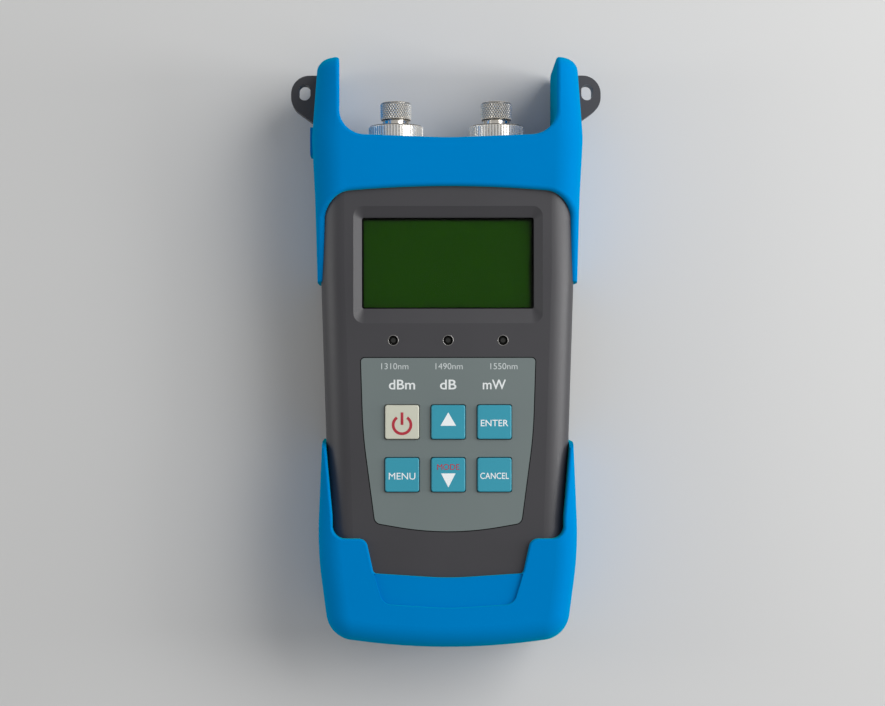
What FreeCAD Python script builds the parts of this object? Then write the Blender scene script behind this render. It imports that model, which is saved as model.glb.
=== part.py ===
"""Handheld optical power meter: a clamshell case in two rubber boots, with two fibre ports.

Frame: millimetres, X to the right, Y towards the ports, Z up out of the front face. The meter lies
on its back, with the origin under the middle of its outline on the surface that it rests on.
"""
import FreeCAD, Part
import math
import os
import re
import Sketcher

doc = FreeCAD.newDocument("OpticalPowerMeter")
sheet = doc.addObject("Spreadsheet::Sheet", "Sizes")

SIZES = [
    # Overall length and the case
    ("half_length", 97.5, "from the middle to either end of the boots"),
    ("case_depth", 38.6, "case thickness, back to front"),
    ("case_top_half", 42.0, "half-width of the case above its shoulder"),
    ("case_taper", 3.8, "how much the case narrows on each side towards the tail"),
    ("case_corner", 8.5, "corner rounding of the case's tail"),
    ("shoulder_round", 90.0, "rounding where the case starts to narrow"),
    ("shoulder", 26.0, "height where the case starts to narrow"),
    ("front_round", 8.0, "rounding of the long front edges"),
    ("back_round", 5.0, "rounding of the long back edges"),
    ("wall", 2.2, "case wall"),
    ("full_round", 0.49, "share of a slot's width that rounds its ends"),
    ("back_wall", 3.0, "case back wall"),
    ("parting", 21.5, "height of the joint between the two shells, and of the port axes"),
    # Boots: skins are measured from the case, drops from the horn tips, rises from the tail
    ("back_skin", 2.2, "rubber under the back"),
    ("front_skin", 2.2, "rubber over the front"),
    ("side_skin", 2.3, "rubber inside the port bay"),
    ("tip_skin", 2.4, "rubber over the horn tips"),
    ("tail_skin", 4.8, "rubber bumper at the tail"),
    ("boot_round", 9.5, "rounding of the top boot's long front edges"),
    ("boot_back_round", 6.5, "rounding of the boots' back edges"),
    ("tail_round", 7.5, "rounding of the bottom boot's front edges"),
    ("horn_skin", 1.1, "rubber beside the horn tips"),
    ("bulge_skin", 3.0, "rubber beside the ports, where the top boot is widest"),
    ("bulge_drop", 26.5, "how far that place lies below the tips"),
    ("bulge_round", 40.0, "rounding of the top boot's bulge"),
    ("waist_skin", 1.9, "rubber at the top boot's waist"),
    ("waist_drop", 46.5, "how far the waist lies below the tips"),
    ("waist_round", 80.0, "rounding of the top boot's waist"),
    ("arm_skin", 1.1, "rubber at the tips of the top arms"),
    ("top_arm_drop", 74.5, "how far the top arms reach below the tips"),
    ("arm_round", 14.0, "rounding of the arms' tips, seen from the side"),
    ("horn_thick", 5.8, "how far the bay's sides lie inside the case's width"),
    ("bay_deep", 27.6, "depth of the bay below the tips"),
    ("bay_round", 8.0, "corner rounding of the bay"),
    ("bay_lean", 1.5, "how far the bay's walls lean outwards from the front to the back"),
    ("bay_soften", 1.0, "softened front edge of the bay"),
    ("bay_dip", 0.9, "how far the bay's floor dips to the middle"),
    ("horn_round", 4.6, "rounding round the horn tips"),
    ("arch_drop", 42.9, "how far the top boot's lower edge lies below the tips"),
    ("arch_rise", 2.0, "how far that edge rises to the middle"),
    ("arch_round", 9.0, "corner rounding below that edge"),
    ("side_lip", 1.7, "how far the boots' side lips reach over the front"),
    ("tail_arm_skin", 3.4, "bottom arm tips beyond the case's tail width"),
    ("tail_arm_rise", 67.9, "how far the bottom arms reach above the tail"),
    ("tail_bulge_skin", 4.9, "the bottom boot's widest place beyond the case's tail width"),
    ("tail_bulge_rise", 32.5, "how far that place lies above the tail"),
    ("tail_bulge_round", 120.0, "rounding of the bottom boot's bulge"),
    ("tail_end_skin", 1.0, "the bottom boot's end corners beyond the case's tail width"),
    ("tail_corner", 9.5, "corner rounding of the bottom boot"),
    ("tail_bow", 3.4, "how far the bottom edge bows out past its corners"),
    ("tail_bow_round", 220.0, "rounding of the bottom edge"),
    ("tail_lip", 0.2, "how far the lips lie inside the case's tail width where the boot closes in"),
    ("close_in", 7.0, "how far above its shoulder the bottom boot closes in"),
    ("close_round", 20.0, "rounding where it closes in"),
    ("step_rise", 36.5, "how far the bottom boot's shoulder lies above the tail"),
    ("step_half", 27.0, "half-width where the shoulder turns down"),
    ("step_round", 3.0, "rounding where the shoulder turns down"),
    ("step_corner", 4.0, "rounding at the outer end of the shoulder"),
    ("tongue_half", 24.5, "half-width of the case tongue at its end"),
    ("tongue_rise", 25.1, "how far the tongue's end lies above the tail"),
    ("tongue_bow", 1.6, "how far the tongue's end bows out"),
    ("tongue_round", 1.5, "corner rounding of the tongue's end"),
    ("panel_rise", 15.1, "how far the thin panel's end lies above the tail"),
    ("panel_bow", 1.4, "how far the panel's end bows out"),
    ("panel_half", 21.5, "half-width of the thin panel at its end"),
    ("panel_round", 4.0, "corner rounding of the panel's end"),
    ("panel_step", 1.1, "how far the thin panel lies below the bumper"),
    ("lip_soften", 1.4, "softened edge of the top boot's opening"),
    ("tail_lip_soften", 0.6, "softened edge of the bottom boot's opening"),
    # Rubber flap on the left side
    ("flap_proud", 0.8, "how far the flap stands proud of the boot"),
    ("flap_half", 4.8, "half-length of the flap along the boot"),
    ("flap_rise", 6.5, "half-height of the flap"),
    ("flap_round", 2.0, "corner rounding of the flap"),
    # Strap ears
    ("ear_out", 10.6, "how far the ears stand out past the case"),
    ("ear_thick", 6.0, "thickness of the strap ears"),
    ("ear_base", 14.0, "height of the ears above the rest surface"),
    ("ear_drop", 3.4, "how far the ears' upper edge lies below the tips"),
    ("ear_low_drop", 14.0, "how far the ears' lower corner lies below the tips"),
    ("ear_root_drop", 20.0, "how far below the tips the ears' slant meets the case"),
    ("ear_round", 6.2, "rounding of the ears"),
    ("eyelet_out", 6.0, "distance of the eyelets from the side of the case"),
    ("eyelet_drop", 9.1, "how far the eyelets lie below the tips"),
    ("eyelet_wide", 3.95, "eyelet width"),
    ("eyelet_tall", 5.35, "eyelet length"),
    # Display
    ("bezel_half", 31.1, "half-width of the display bevel"),
    ("bezel_top", 48.1, "upper edge of the display bevel"),
    ("bezel_low", 9.6, "lower edge of the display bevel"),
    ("view_half", 28.3, "half-width of the display opening"),
    ("view_top", 44.4, "upper edge of the display opening"),
    ("view_low", 14.4, "lower edge of the display opening"),
    ("bezel_drop", 1.5, "depth of the display bevel"),
    ("bezel_round", 3.4, "corner rounding of the bevel's upper edge"),
    ("view_round", 0.8, "corner rounding of the display opening"),
    ("window_thick", 1.2, "display window thickness"),
    ("window_lap", 1.7, "how far the window reaches behind its opening"),
    ("panel_thick", 1.8, "liquid crystal panel thickness"),
    ("stack_gap", 0.2, "gap between the window and the panel"),
    # Indicators and keypad
    ("lamp_across", 18.0, "distance of the outer indicators from the middle"),
    ("lamp_height", 4.0, "height of the indicators"),
    ("lamp_hole", 1.65, "radius of the indicator holes"),
    ("lamp_radius", 1.5, "radius of the indicator lenses"),
    ("lamp_flange", 0.3, "flange of the lamps beyond their radius"),
    ("lamp_foot", 1.0, "height of that flange"),
    ("lamp_drop", 0.4, "how far the lenses lie below the face"),
    ("label_thick", 0.3, "keypad label thickness"),
    ("label_fit", 0.1, "gap round the keypad label"),
    ("label_top", -2.0, "upper edge of the keypad label"),
    ("label_top_half", 28.5, "half-width of the label at its upper edge"),
    ("label_waist", -27.0, "height where the label narrows"),
    ("label_waist_half", 27.7, "half-width of the label there"),
    ("label_foot", -56.0, "lower corners of the label"),
    ("label_foot_half", 23.9, "half-width of the label at its lower corners"),
    ("label_bow", 4.2, "how far the label's lower edge bows out"),
    ("label_foot_round", 2.5, "rounding of the label's lower corners"),
    ("label_top_round", 1.5, "rounding of the label's upper corners"),
    ("key_side", 11.15, "key cap width"),
    ("key_round", 0.8, "key cap corner rounding"),
    ("key_pitch", 15.15, "spacing of the key columns"),
    ("key_upper", -22.8, "height of the upper key row"),
    ("key_lower", -40.1, "height of the lower key row"),
    ("key_rise", 1.0, "how far the key caps stand proud"),
    ("key_fit", 0.25, "gap round the key caps"),
    ("key_travel", 0.8, "key travel"),
    ("key_flange", 0.9, "how far the key flange reaches out"),
    ("flange_thick", 1.2, "key flange thickness"),
    ("flange_gap", 0.15, "gap over the key flange"),
    ("dome_gap", 0.15, "gap over the dome of a pressed key"),
    ("dome_radius", 4.0, "dome radius"),
    ("mat_thick", 0.8, "key mat thickness"),
    # Circuit board
    ("board_top", 33.0, "height of the board's front side"),
    ("board_thick", 1.6, "board thickness"),
    ("board_half", 34.5, "half-width of the board"),
    ("board_drop", 44.5, "how far the board's upper edge lies below the horn tips"),
    ("board_rise", 33.5, "how far the board's lower edge lies above the tail"),
    ("post_across", 33.4, "distance of the board posts from the middle"),
    ("post_high_in", 3.2, "distance of the upper board posts from the board's edge"),
    ("post_low_in", 4.0, "distance of the lower board posts from the board's edge"),
    ("post_radius", 2.4, "board post radius"),
    # Case screws
    ("boss_across", 31.8, "distance of the case screws from the middle"),
    ("boss_drop", 38.0, "how far the upper case screws lie below the horn tips"),
    ("boss_rise", 13.5, "how far the lower case screws lie above the tail"),
    ("boss_radius", 3.4, "screw boss radius"),
    ("screw_radius", 1.4, "case screw radius"),
    ("screw_head", 2.6, "case screw head radius"),
    ("head_deep", 2.4, "case screw head depth"),
    ("screw_bite", 12.0, "how far a case screw enters the front boss"),
    ("screw_spare", 1.0, "hole left beyond the tips of the case screws"),
    ("small_spare", 0.2, "hole left beyond the tips of the board screws"),
    ("screw_fit", 0.15, "gap round a case screw's head"),
    ("board_screw", 0.9, "board screw radius"),
    ("board_screw_head", 1.7, "board screw head radius"),
    # Ports
    ("port_across", 17.0, "distance of the ports from the middle"),
    ("barrel_radius", 8.0, "radius of the port barrel"),
    ("barrel_out", 3.8, "how far the port barrel stands out of the bay's floor"),
    ("barrel_bore", 5.6, "bore of the port barrel"),
    ("collar_radius", 10.4, "radius of the collar inside the case"),
    ("collar_thick", 2.4, "thickness of the collar inside the case"),
    ("collar_deep", 3.4, "how far the barrel reaches past the collar"),
    ("turn_fit", 0.05, "running fit of the threaded pieces"),
    ("nut_radius", 9.2, "ring nut radius"),
    ("nut_gap", 1.2, "gap between the bay's floor and the ring nut"),
    ("nut_long", 5.5, "length of the ring nut"),
    ("nut_edge", 0.4, "chamfer of the ring nut's inner end"),
    ("nut_front_edge", 0.6, "chamfer of the ring nut's outer end"),
    ("nut_lip", 1.4, "thickness of the ring nut's end wall"),
    ("flute_deep", 0.36, "depth of the ring nut's flutes"),
    ("plate_radius", 7.2, "adapter plate radius"),
    ("neck_radius", 4.5, "adapter neck radius"),
    ("neck_long", 1.5, "how far the slotted neck stands out of the ring nut"),
    ("slot_deep", 0.45, "depth of the neck slots"),
    ("neck_slot", 0.9, "width of the neck slots"),
    ("thread_radius", 4.0, "connector thread radius"),
    ("thread_long", 5.1, "length of the connector thread"),
    ("thread_edge", 0.3, "chamfer of the connector thread"),
    ("ferrule_bore", 1.28, "ferrule bore radius"),
    ("cap_radius", 5.3, "dust cap radius"),
    ("cap_gap", 0.25, "gap between the neck and the dust cap"),
    ("cap_long", 6.25, "length of the dust cap"),
    ("cap_edge", 0.5, "chamfer of the dust cap's closed end"),
    ("seal_gap", 0.05, "gap under the cap seal"),
    ("seal_thick", 0.5, "cap seal thickness"),
    ("seal_fit", 0.2, "gap round the cap seal"),
    ("port_hole", 0.15, "gap round the port barrel in the rubber"),
    ("detector_radius", 5.5, "detector can radius"),
    ("detector_length", 9.0, "detector can length"),
    ("detector_deep", 1.0, "how far the detector lies inside the barrel's end"),
    # Battery bay
    ("cell_radius", 7.1, "battery cell radius"),
    ("cell_length", 50.0, "battery cell length with its button"),
    ("cell_button", 1.0, "length of the cell's button"),
    ("cell_gap", 0.5, "gap between the cells"),
    ("cell_foot", -45.0, "lower end of the cells"),
    ("contact_thick", 0.5, "contact plate thickness"),
    ("contact_room", 2.4, "room for the contacts at each end of the cells"),
    ("contact_radius", 2.7, "radius of the contact springs and of the cells' buttons"),
    ("tray_wall", 1.4, "battery tray wall"),
    ("cell_rise", 0.5, "gap between the cells and the cover"),
    ("cover_thick", 1.7, "battery cover thickness"),
    ("cover_gap", 0.1, "gap between the cover and its ledge"),
    ("cover_fit", 0.3, "gap round the battery cover"),
    ("side_ledge", 4.0, "ledge beside the battery opening"),
    ("high_ledge", 6.0, "ledge above the battery opening"),
    ("low_ledge", 8.0, "ledge below the battery opening, where the cover hooks in"),
    ("tongue_wide", 14.0, "width of the cover's spring tongue"),
    ("tongue_slit", 1.0, "width of the slits beside the tongue"),
    ("cover_rim", 1.0, "rim of the cover beyond the ends of the slits"),
    ("tongue_long", 5.0, "length of the slits beside the tongue"),
    ("grip_deep", 0.7, "depth of the thumb grip"),
    ("grip_wide", 2.2, "width of the thumb grip"),
    ("hook_wide", 8.0, "width of the cover hooks"),
    ("hook_across", 18.0, "distance of the cover hooks from the middle"),
    ("hook_thick", 1.0, "thickness of the cover hooks"),
    ("hook_reach", 1.8, "how far the hooks reach over the ledge"),
    ("hook_stem", 1.4, "length of the hooks' stems"),
    ("hook_swing", 5.2, "length of the notches that the hooks swing out through"),
    ("hook_fit", 0.3, "gap between the hooks and the ledge"),
    # Modules on the board
    ("module_deep", 6.0, "splitter module thickness"),
    ("module_round", 1.0, "corner rounding of the module"),
    ("module_half", 13.0, "half-width of the splitter module"),
    ("module_low", 26.0, "lower edge of the splitter module"),
    ("module_high", 46.0, "upper edge of the splitter module"),
    ("buzzer_radius", 6.0, "buzzer radius"),
    ("buzzer_deep", 5.5, "buzzer thickness"),
    ("buzzer_across", 20.0, "distance of the buzzer from the middle"),
    ("buzzer_in", 7.5, "distance of the buzzer from the board's lower edge"),
]
# Sizes that follow from others, so that each piece keeps its place when one changes
FITTED = [
    ("case_tail_half", "case_top_half - case_taper", "half-width of the case at the tail"),
    ("horn_half", "case_top_half + horn_skin", "half-width of the top boot at the horn tips"),
    ("bulge_half", "case_top_half + bulge_skin", "half-width of the top boot beside the ports"),
    ("bulge_height", "half_length - bulge_drop", "height of the top boot's widest place"),
    ("waist_half", "case_top_half + waist_skin", "half-width of the top boot above its arms"),
    ("waist_height", "half_length - waist_drop", "height of the top boot's waist"),
    ("top_arm_half", "case_top_half + arm_skin", "half-width of the top boot at its arms' tips"),
    ("top_arm_tip", "half_length - top_arm_drop", "height of the top arms' tips"),
    ("horn_inner", "case_top_half - horn_thick", "half-width of the bay between the horns"),
    ("bay_floor", "half_length - bay_deep", "height of the bay's floor at its sides"),
    ("arch_height", "half_length - arch_drop", "top boot's lower edge"),
    ("lip_inner", "case_top_half - side_lip", "half-width between the boots' side lips"),
    ("tail_arm_half", "case_tail_half + tail_arm_skin", "half-width of the bottom boot at its arms' tips"),
    ("tail_arm_tip", "half_length - tail_arm_rise", "distance of the bottom arms' tips below the middle"),
    ("tail_bulge_half", "case_tail_half + tail_bulge_skin", "half-width of the bottom boot at its widest"),
    ("tail_bulge", "half_length - tail_bulge_rise", "distance of that place below the middle"),
    ("tail_end_half", "case_tail_half + tail_end_skin", "half-width of the bottom boot at its end corners"),
    ("lip_low_half", "case_tail_half - tail_lip", "half-width between the lips where the boot closes in"),
    ("step_height", "half_length - step_rise", "distance of the bottom boot's shoulder below the middle"),
    ("tongue_end", "half_length - tongue_rise", "distance of the tongue's end below the middle"),
    ("panel_end", "half_length - panel_rise", "distance of the thin panel's end below the middle"),
    ("ear_reach", "case_top_half + ear_out", "distance of the ears' outer edge from the middle"),
    ("ear_top", "half_length - ear_drop", "upper edge of the ears"),
    ("ear_low", "half_length - ear_low_drop", "lower corner of the ears"),
    ("ear_root", "half_length - ear_root_drop", "where the ears' slant meets the case"),
    ("eyelet_across", "case_top_half + eyelet_out", "distance of the eyelets from the middle"),
    ("eyelet_height", "half_length - eyelet_drop", "height of the eyelets"),
    ("board_high", "half_length - board_drop", "upper edge of the board"),
    ("board_low", "board_rise - half_length", "lower edge of the board"),
    ("post_high", "board_high - post_high_in", "height of the upper board posts"),
    ("post_low", "board_low + post_low_in", "height of the lower board posts"),
    ("boss_high", "half_length - boss_drop", "height of the upper case screws"),
    ("boss_low", "boss_rise - half_length", "height of the lower case screws"),
    ("barrel_end", "bay_floor + barrel_out", "outer end of the port barrel"),
    ("nut_low", "bay_floor + nut_gap", "inner end of the ring nut"),
    ("nut_top", "nut_low + nut_long", "outer end of the ring nut"),
    ("neck_end", "nut_top + neck_long", "outer end of the slotted neck"),
    ("thread_end", "neck_end + thread_long", "outer end of the connector thread"),
    ("cap_low", "neck_end + cap_gap", "open end of the dust cap"),
    ("cap_top", "cap_low + cap_long", "closed end of the dust cap"),
    ("buzzer_height", "board_low + buzzer_in", "height of the buzzer"),
]
for row, (alias, size, meaning) in enumerate(SIZES + FITTED, 1):
    sheet.set(f"A{row}", meaning)
    sheet.set(f"B{row}", f"={size}")
    sheet.setAlias(f"B{row}", alias)
doc.recompute()

# Levels and stations that follow from the sizes
FACE = "(back_skin + case_depth)"
BOOT_FACE = "(back_skin + case_depth + front_skin)"
INNER_FACE = "(back_skin + case_depth - wall)"
INNER_BACK = "(back_skin + back_wall)"
CASE_TOP = "(half_length - tip_skin)"
CASE_TAIL = "(tail_skin - half_length)"
CASE_BAY = "(bay_floor - side_skin)"
ROOM_TOP = f"({CASE_BAY} - bay_lean - wall)"
BOARD_BACK = "(board_top - board_thick)"
CLEAR = "(2 * half_length)"
BAY_HALF = "(4 * cell_radius + 2 * cell_gap)"
BAY_LOW = "(cell_foot - contact_room)"
BAY_HIGH = "(cell_foot + cell_length + contact_room)"
COVER_HALF = "(4 * cell_radius + 2 * cell_gap + side_ledge)"
COVER_LOW = "(cell_foot - contact_room - low_ledge)"
COVER_HIGH = "(cell_foot + cell_length + contact_room + high_ledge)"
CELL_BASE = "(back_skin + back_wall + cell_rise)"
SHARP = "0"
NEAR = 0.01


def cells(text):
    """Turn the bare size names of an expression into references to the sheet."""
    return re.sub(r"\b[a-z]\w*\b(?!\()", lambda name: "Sizes." + name.group(), text)


def number(text):
    """The present value of an expression of sizes."""
    return float(sheet.evalExpression(cells(text)))


def bind(item, setting, text):
    """Tie one property of an object to an expression of sizes."""
    item.setExpression(setting, cells(text))


def new_body(label):
    """An empty body whose label names its file."""
    piece = doc.addObject("PartDesign::Body", label)
    piece.Label = label
    return piece


def plane_of(piece, role):
    """One of the body's own origin planes or axes."""
    return [item for item in piece.Origin.OriginFeatures if item.Role == role][0]


def sketch(piece, plane, height=SHARP):
    """An empty sketch at a distance along the normal of one of the body's planes."""
    flat = piece.newObject("Sketcher::SketchObject", piece.Label + "_sketch")
    flat.AttachmentSupport = [(plane_of(piece, plane + "_Plane"), "")]
    flat.MapMode = "FlatFace"
    bind(flat, ".AttachmentOffset.Base.z", height)
    return flat


def hold(flat, ties):
    """Add constraints to a sketch, each paired with the expression that drives it, or None."""
    first = flat.ConstraintCount
    flat.addConstraint([tie for tie, _ in ties])
    for place, (_, text) in enumerate(ties, first):
        if text and re.search("[a-z]", text):
            bind(flat, f"Constraints[{place}]", text)


def at_point(geometry, vertex, across, along):
    """The ties that hold a point of a sketch at a place given by two expressions."""
    return [(Sketcher.Constraint(kind, -1, 1, geometry, vertex, number(text)), text)
            for kind, text in (("DistanceX", across), ("DistanceY", along))]


def circle(flat, across, along, radius):
    """A circle with its centre and radius tied to the sizes."""
    centre = FreeCAD.Vector(number(across), number(along), 0)
    ring = flat.addGeometry(Part.Circle(centre, FreeCAD.Vector(0, 0, 1), number(radius)))
    hold(flat, at_point(ring, 3, across, along)
         + [(Sketcher.Constraint("Radius", ring, number(radius)), radius)])


def rounded_corner(before, corner, after, radius):
    """The two tangent points and the arc of a rounded corner, and which end of the arc is first."""
    inward = (before - corner).normalize()
    outward = (after - corner).normalize()
    half_angle = inward.getAngle(outward) / 2
    first = corner + inward * (radius / math.tan(half_angle))
    last = corner + outward * (radius / math.tan(half_angle))
    centre = corner + (inward + outward).normalize() * (radius / math.sin(half_angle))
    start = math.atan2(first.y - centre.y, first.x - centre.x)
    end = math.atan2(last.y - centre.y, last.x - centre.x)
    turns_left = inward.cross(outward).z < 0
    if not turns_left:
        start, end = end, start
    if end < start:
        end += 2 * math.pi
    round_edge = Part.Circle(centre, FreeCAD.Vector(0, 0, 1), radius)
    return first, last, Part.ArcOfCircle(round_edge, start, end), turns_left


def outline(flat, corners):
    """A closed outline of straight runs, each corner an (across, along, radius) of expressions."""
    points = [FreeCAD.Vector(number(across), number(along), 0) for across, along, _ in corners]
    count = len(corners)
    rounds = {}
    starts, ends = list(points), list(points)
    for place, (_, _, radius) in enumerate(corners):
        if radius != SHARP:
            after = points[(place + 1) % count]
            rounds[place] = rounded_corner(points[place - 1], points[place], after, number(radius))
            ends[place], starts[place] = rounds[place][:2]
    first_run = flat.GeometryCount
    flat.addGeometry([Part.LineSegment(starts[place], ends[(place + 1) % count]) for place in range(count)])
    ties = []
    for place, (across, along, radius) in enumerate(corners):
        came, goes = first_run + (place - 1) % count, first_run + place
        if place not in rounds:
            ties.append((Sketcher.Constraint("Coincident", came, 2, goes, 1), None))
            ties += at_point(goes, 1, across, along)
            continue
        _, _, arc_edge, turns_left = rounds[place]
        arc = flat.addGeometry(arc_edge)
        tip = flat.addGeometry(Part.Point(points[place]), True)
        ties += [(Sketcher.Constraint("Tangent", came, 2, arc, 1 if turns_left else 2), None),
                 (Sketcher.Constraint("Tangent", goes, 1, arc, 2 if turns_left else 1), None),
                 (Sketcher.Constraint("Radius", arc, number(radius)), radius),
                 (Sketcher.Constraint("PointOnObject", tip, 1, came), None),
                 (Sketcher.Constraint("PointOnObject", tip, 1, goes), None)]
        ties += at_point(tip, 1, across, along)
    hold(flat, ties)


def both_sides(right):
    """Complete an outline from its right half, listed from the tail up."""
    left = [(f"-({across})", along, radius) for across, along, radius in reversed(right)
            if across != SHARP]
    return right + left


def rectangle(left, right, low, high, radius=SHARP):
    """Corners of an upright rectangle."""
    return [(right, low, radius), (right, high, radius), (left, high, radius), (left, low, radius)]


def flat_outline(piece, plane, height, corners):
    """A sketch that holds one outline."""
    flat = sketch(piece, plane, height)
    outline(flat, corners)
    return flat


def pad(piece, flat, length, backwards=False):
    """Raise a sketch by a length along its plane's normal."""
    feature = piece.newObject("PartDesign::Pad", piece.Label + "_pad")
    feature.Profile = flat
    bind(feature, "Length", length)
    feature.Reversed = backwards
    return feature


def pocket(piece, flat, depth=None, along_normal=False):
    """Cut a sketch against its plane's normal, or along it; with no depth, right through."""
    feature = piece.newObject("PartDesign::Pocket", piece.Label + "_pocket")
    feature.Profile = flat
    feature.Reversed = along_normal
    if depth is None:
        feature.Type = "ThroughAll"
    else:
        bind(feature, "Length", depth)
    return feature


def cut_loft(piece, upper, lower):
    """Cut a straight-sided recess that runs from one sketch to another."""
    feature = piece.newObject("PartDesign::SubtractiveLoft", piece.Label + "_loft")
    feature.Profile = upper
    feature.Sections = [lower]
    feature.Ruled = True


def turn(piece, corners):
    """Turn a profile of (radius, height) corners about the body's Z axis."""
    flat = sketch(piece, "XZ")
    outline(flat, [(radius, height, SHARP) for radius, height in corners])
    feature = piece.newObject("PartDesign::Revolution", piece.Label + "_turned")
    feature.Profile = flat
    feature.ReferenceAxis = (flat, ["V_Axis"])
    return feature


def repeat_round(piece, feature, count):
    """Repeat a feature evenly about the body's Z axis."""
    ring = piece.newObject("PartDesign::PolarPattern", piece.Label + "_ring")
    ring.Originals = [feature]
    ring.Axis = (plane_of(piece, "Z_Axis"), [""])
    ring.Occurrences = count
    piece.Tip = ring


def soften(piece, feature, radius, chosen):
    """Round the edges of a feature that the test picks."""
    doc.recompute()
    names = [f"Edge{order}" for order, edge in enumerate(feature.Shape.Edges, 1) if chosen(edge)]
    rounded = piece.newObject("PartDesign::Fillet", piece.Label + "_soft")
    rounded.Base = (feature, names)
    bind(rounded, "Radius", radius)
    return rounded


def stand_on_port(piece, across):
    """Turn a body made about Z so that its Z axis is the axis of a port."""
    piece.Placement = FreeCAD.Placement(FreeCAD.Vector(), FreeCAD.Rotation(FreeCAD.Vector(1, 0, 0), -90))
    bind(piece, "Placement.Base.x", across)
    bind(piece, "Placement.Base.z", "parting")


def box(label, left, right, low, high, bottom, height, radius=SHARP):
    """An upright block with rounded corners."""
    piece = new_body(label)
    pad(piece, flat_outline(piece, "XY", bottom, rectangle(left, right, low, high, radius)), height)
    return piece


def cylinders(piece, bottom, height, places, radius):
    """Equal round posts, joined to the body."""
    for across, along in places:
        flat = sketch(piece, "XY", bottom)
        circle(flat, across, along, radius)
        pad(piece, flat, height)


def bores(piece, bottom, depth, places, radius):
    """Equal round holes, cut upwards from one level."""
    flat = sketch(piece, "XY", bottom)
    for across, along in places:
        circle(flat, across, along, radius)
    pocket(piece, flat, depth, along_normal=True)


BOSSES = [("boss_across", "boss_high"), ("-boss_across", "boss_high"),
          ("boss_across", "boss_low"), ("-boss_across", "boss_low")]
POSTS = [("post_across", "post_high"), ("-post_across", "post_high"),
         ("post_across", "post_low"), ("-post_across", "post_low")]
LAMPS = {"left": "-lamp_across", "middle": SHARP, "right": "lamp_across"}
KEYS = {"power": ("-key_pitch", "key_upper"), "up": (SHARP, "key_upper"),
        "enter": ("key_pitch", "key_upper"), "menu": ("-key_pitch", "key_lower"),
        "down": (SHARP, "key_lower"), "cancel": ("key_pitch", "key_lower")}
PORTS = {"left": "-port_across", "right": "port_across"}
NECK_SLOTS = 12
NUT_FLUTES = 56
CELLS = 4


def cut_from(label, base, tool):
    """One solid less another."""
    rest = doc.addObject("Part::Cut", label)
    rest.Label = label
    rest.Base = base
    rest.Tool = tool
    return rest


def on_level(level):
    """A test for edges that lie flat at one height."""
    return lambda edge: edge.BoundBox.ZLength < 0.01 and abs(edge.BoundBox.ZMax - level) < 0.01


# Case form: the closed outer shape that both shells share and that the boots are cut to
def cut_bay(piece, corners):
    """Cut the bay between the horns, with walls that lean outwards towards the back."""
    bay = pocket(piece, flat_outline(piece, "XY", BOOT_FACE, corners), BOOT_FACE)
    bind(bay, "TaperAngle", f"atan(bay_lean / {BOOT_FACE})")
    return bay


def make_case_form():
    form = new_body("case_form")
    plan = both_sides([("case_tail_half", CASE_TAIL, "case_corner"),
                       ("case_top_half", "shoulder", "shoulder_round"), ("case_top_half", CASE_TOP, SHARP)])
    block = pad(form, flat_outline(form, "XY", "back_skin", plan), "case_depth")
    end = number(CASE_TOP) - NEAR

    def beside_or_below(level):
        return lambda edge: on_level(level)(edge) and edge.BoundBox.YMin < end

    rounded = soften(form, block, "front_round", beside_or_below(number(FACE)))
    soften(form, rounded, "back_round", beside_or_below(number("back_skin")))
    ear = [("case_top_half - side_skin", "ear_root", SHARP), ("case_top_half + side_skin", "ear_root", SHARP),
           ("ear_reach", "ear_low", "ear_round"), ("ear_reach", "ear_top", "ear_round"),
           ("case_top_half - side_skin", "ear_top", SHARP)]
    slot = rectangle("eyelet_across - eyelet_wide / 2", "eyelet_across + eyelet_wide / 2",
                     "eyelet_height - eyelet_tall / 2", "eyelet_height + eyelet_tall / 2",
                     "full_round * eyelet_wide")
    for side in ("", "-"):
        for corners, raised in ((ear, True), (slot, False)):
            placed = [(f"{side}({across})", along, radius) for across, along, radius in corners]
            flat = flat_outline(form, "XY", "ear_base", placed)
            if raised:
                pad(form, flat, "ear_thick")
            else:
                pocket(form, flat, "ear_thick", along_normal=True)
    bay_half = "horn_inner + side_skin"
    bay = both_sides([(bay_half, CASE_BAY, "bay_round + side_skin"), (bay_half, CLEAR, SHARP)])
    cut_bay(form, bay)
    return form


def make_hollow_case(form):
    """The case form less its inner room, still in one piece."""
    room = new_body("case_room")
    plan = both_sides([("case_tail_half - wall", f"{CASE_TAIL} + wall", "case_corner - wall"),
                       ("case_top_half - wall", "shoulder", "shoulder_round"),
                       ("case_top_half - wall", ROOM_TOP, "case_corner - wall")])
    block = pad(room, flat_outline(room, "XY", INNER_BACK, plan), f"{INNER_FACE} - {INNER_BACK}")
    rounded = soften(room, block, "front_round - wall", on_level(number(INNER_FACE)))
    soften(room, rounded, "back_round - wall", on_level(number(INNER_BACK)))
    return cut_from("case_hollow", form, room)


def make_shell(label, hollow, keep_front):
    """One half of the case, with its half of the port holes."""
    shell = new_body(label)
    shell.BaseFeature = hollow
    edge = rectangle(f"-{CLEAR}", CLEAR, f"-{CLEAR}", CLEAR)
    pocket(shell, flat_outline(shell, "XY", "parting", edge), along_normal=not keep_front)
    holes = sketch(shell, "XZ", f"-({CASE_BAY} + side_skin)")
    for across in PORTS.values():
        circle(holes, across, "parting", "barrel_radius")
    pocket(shell, holes, "wall + 2 * (side_skin + bay_lean)", along_normal=True)
    return shell


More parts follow.
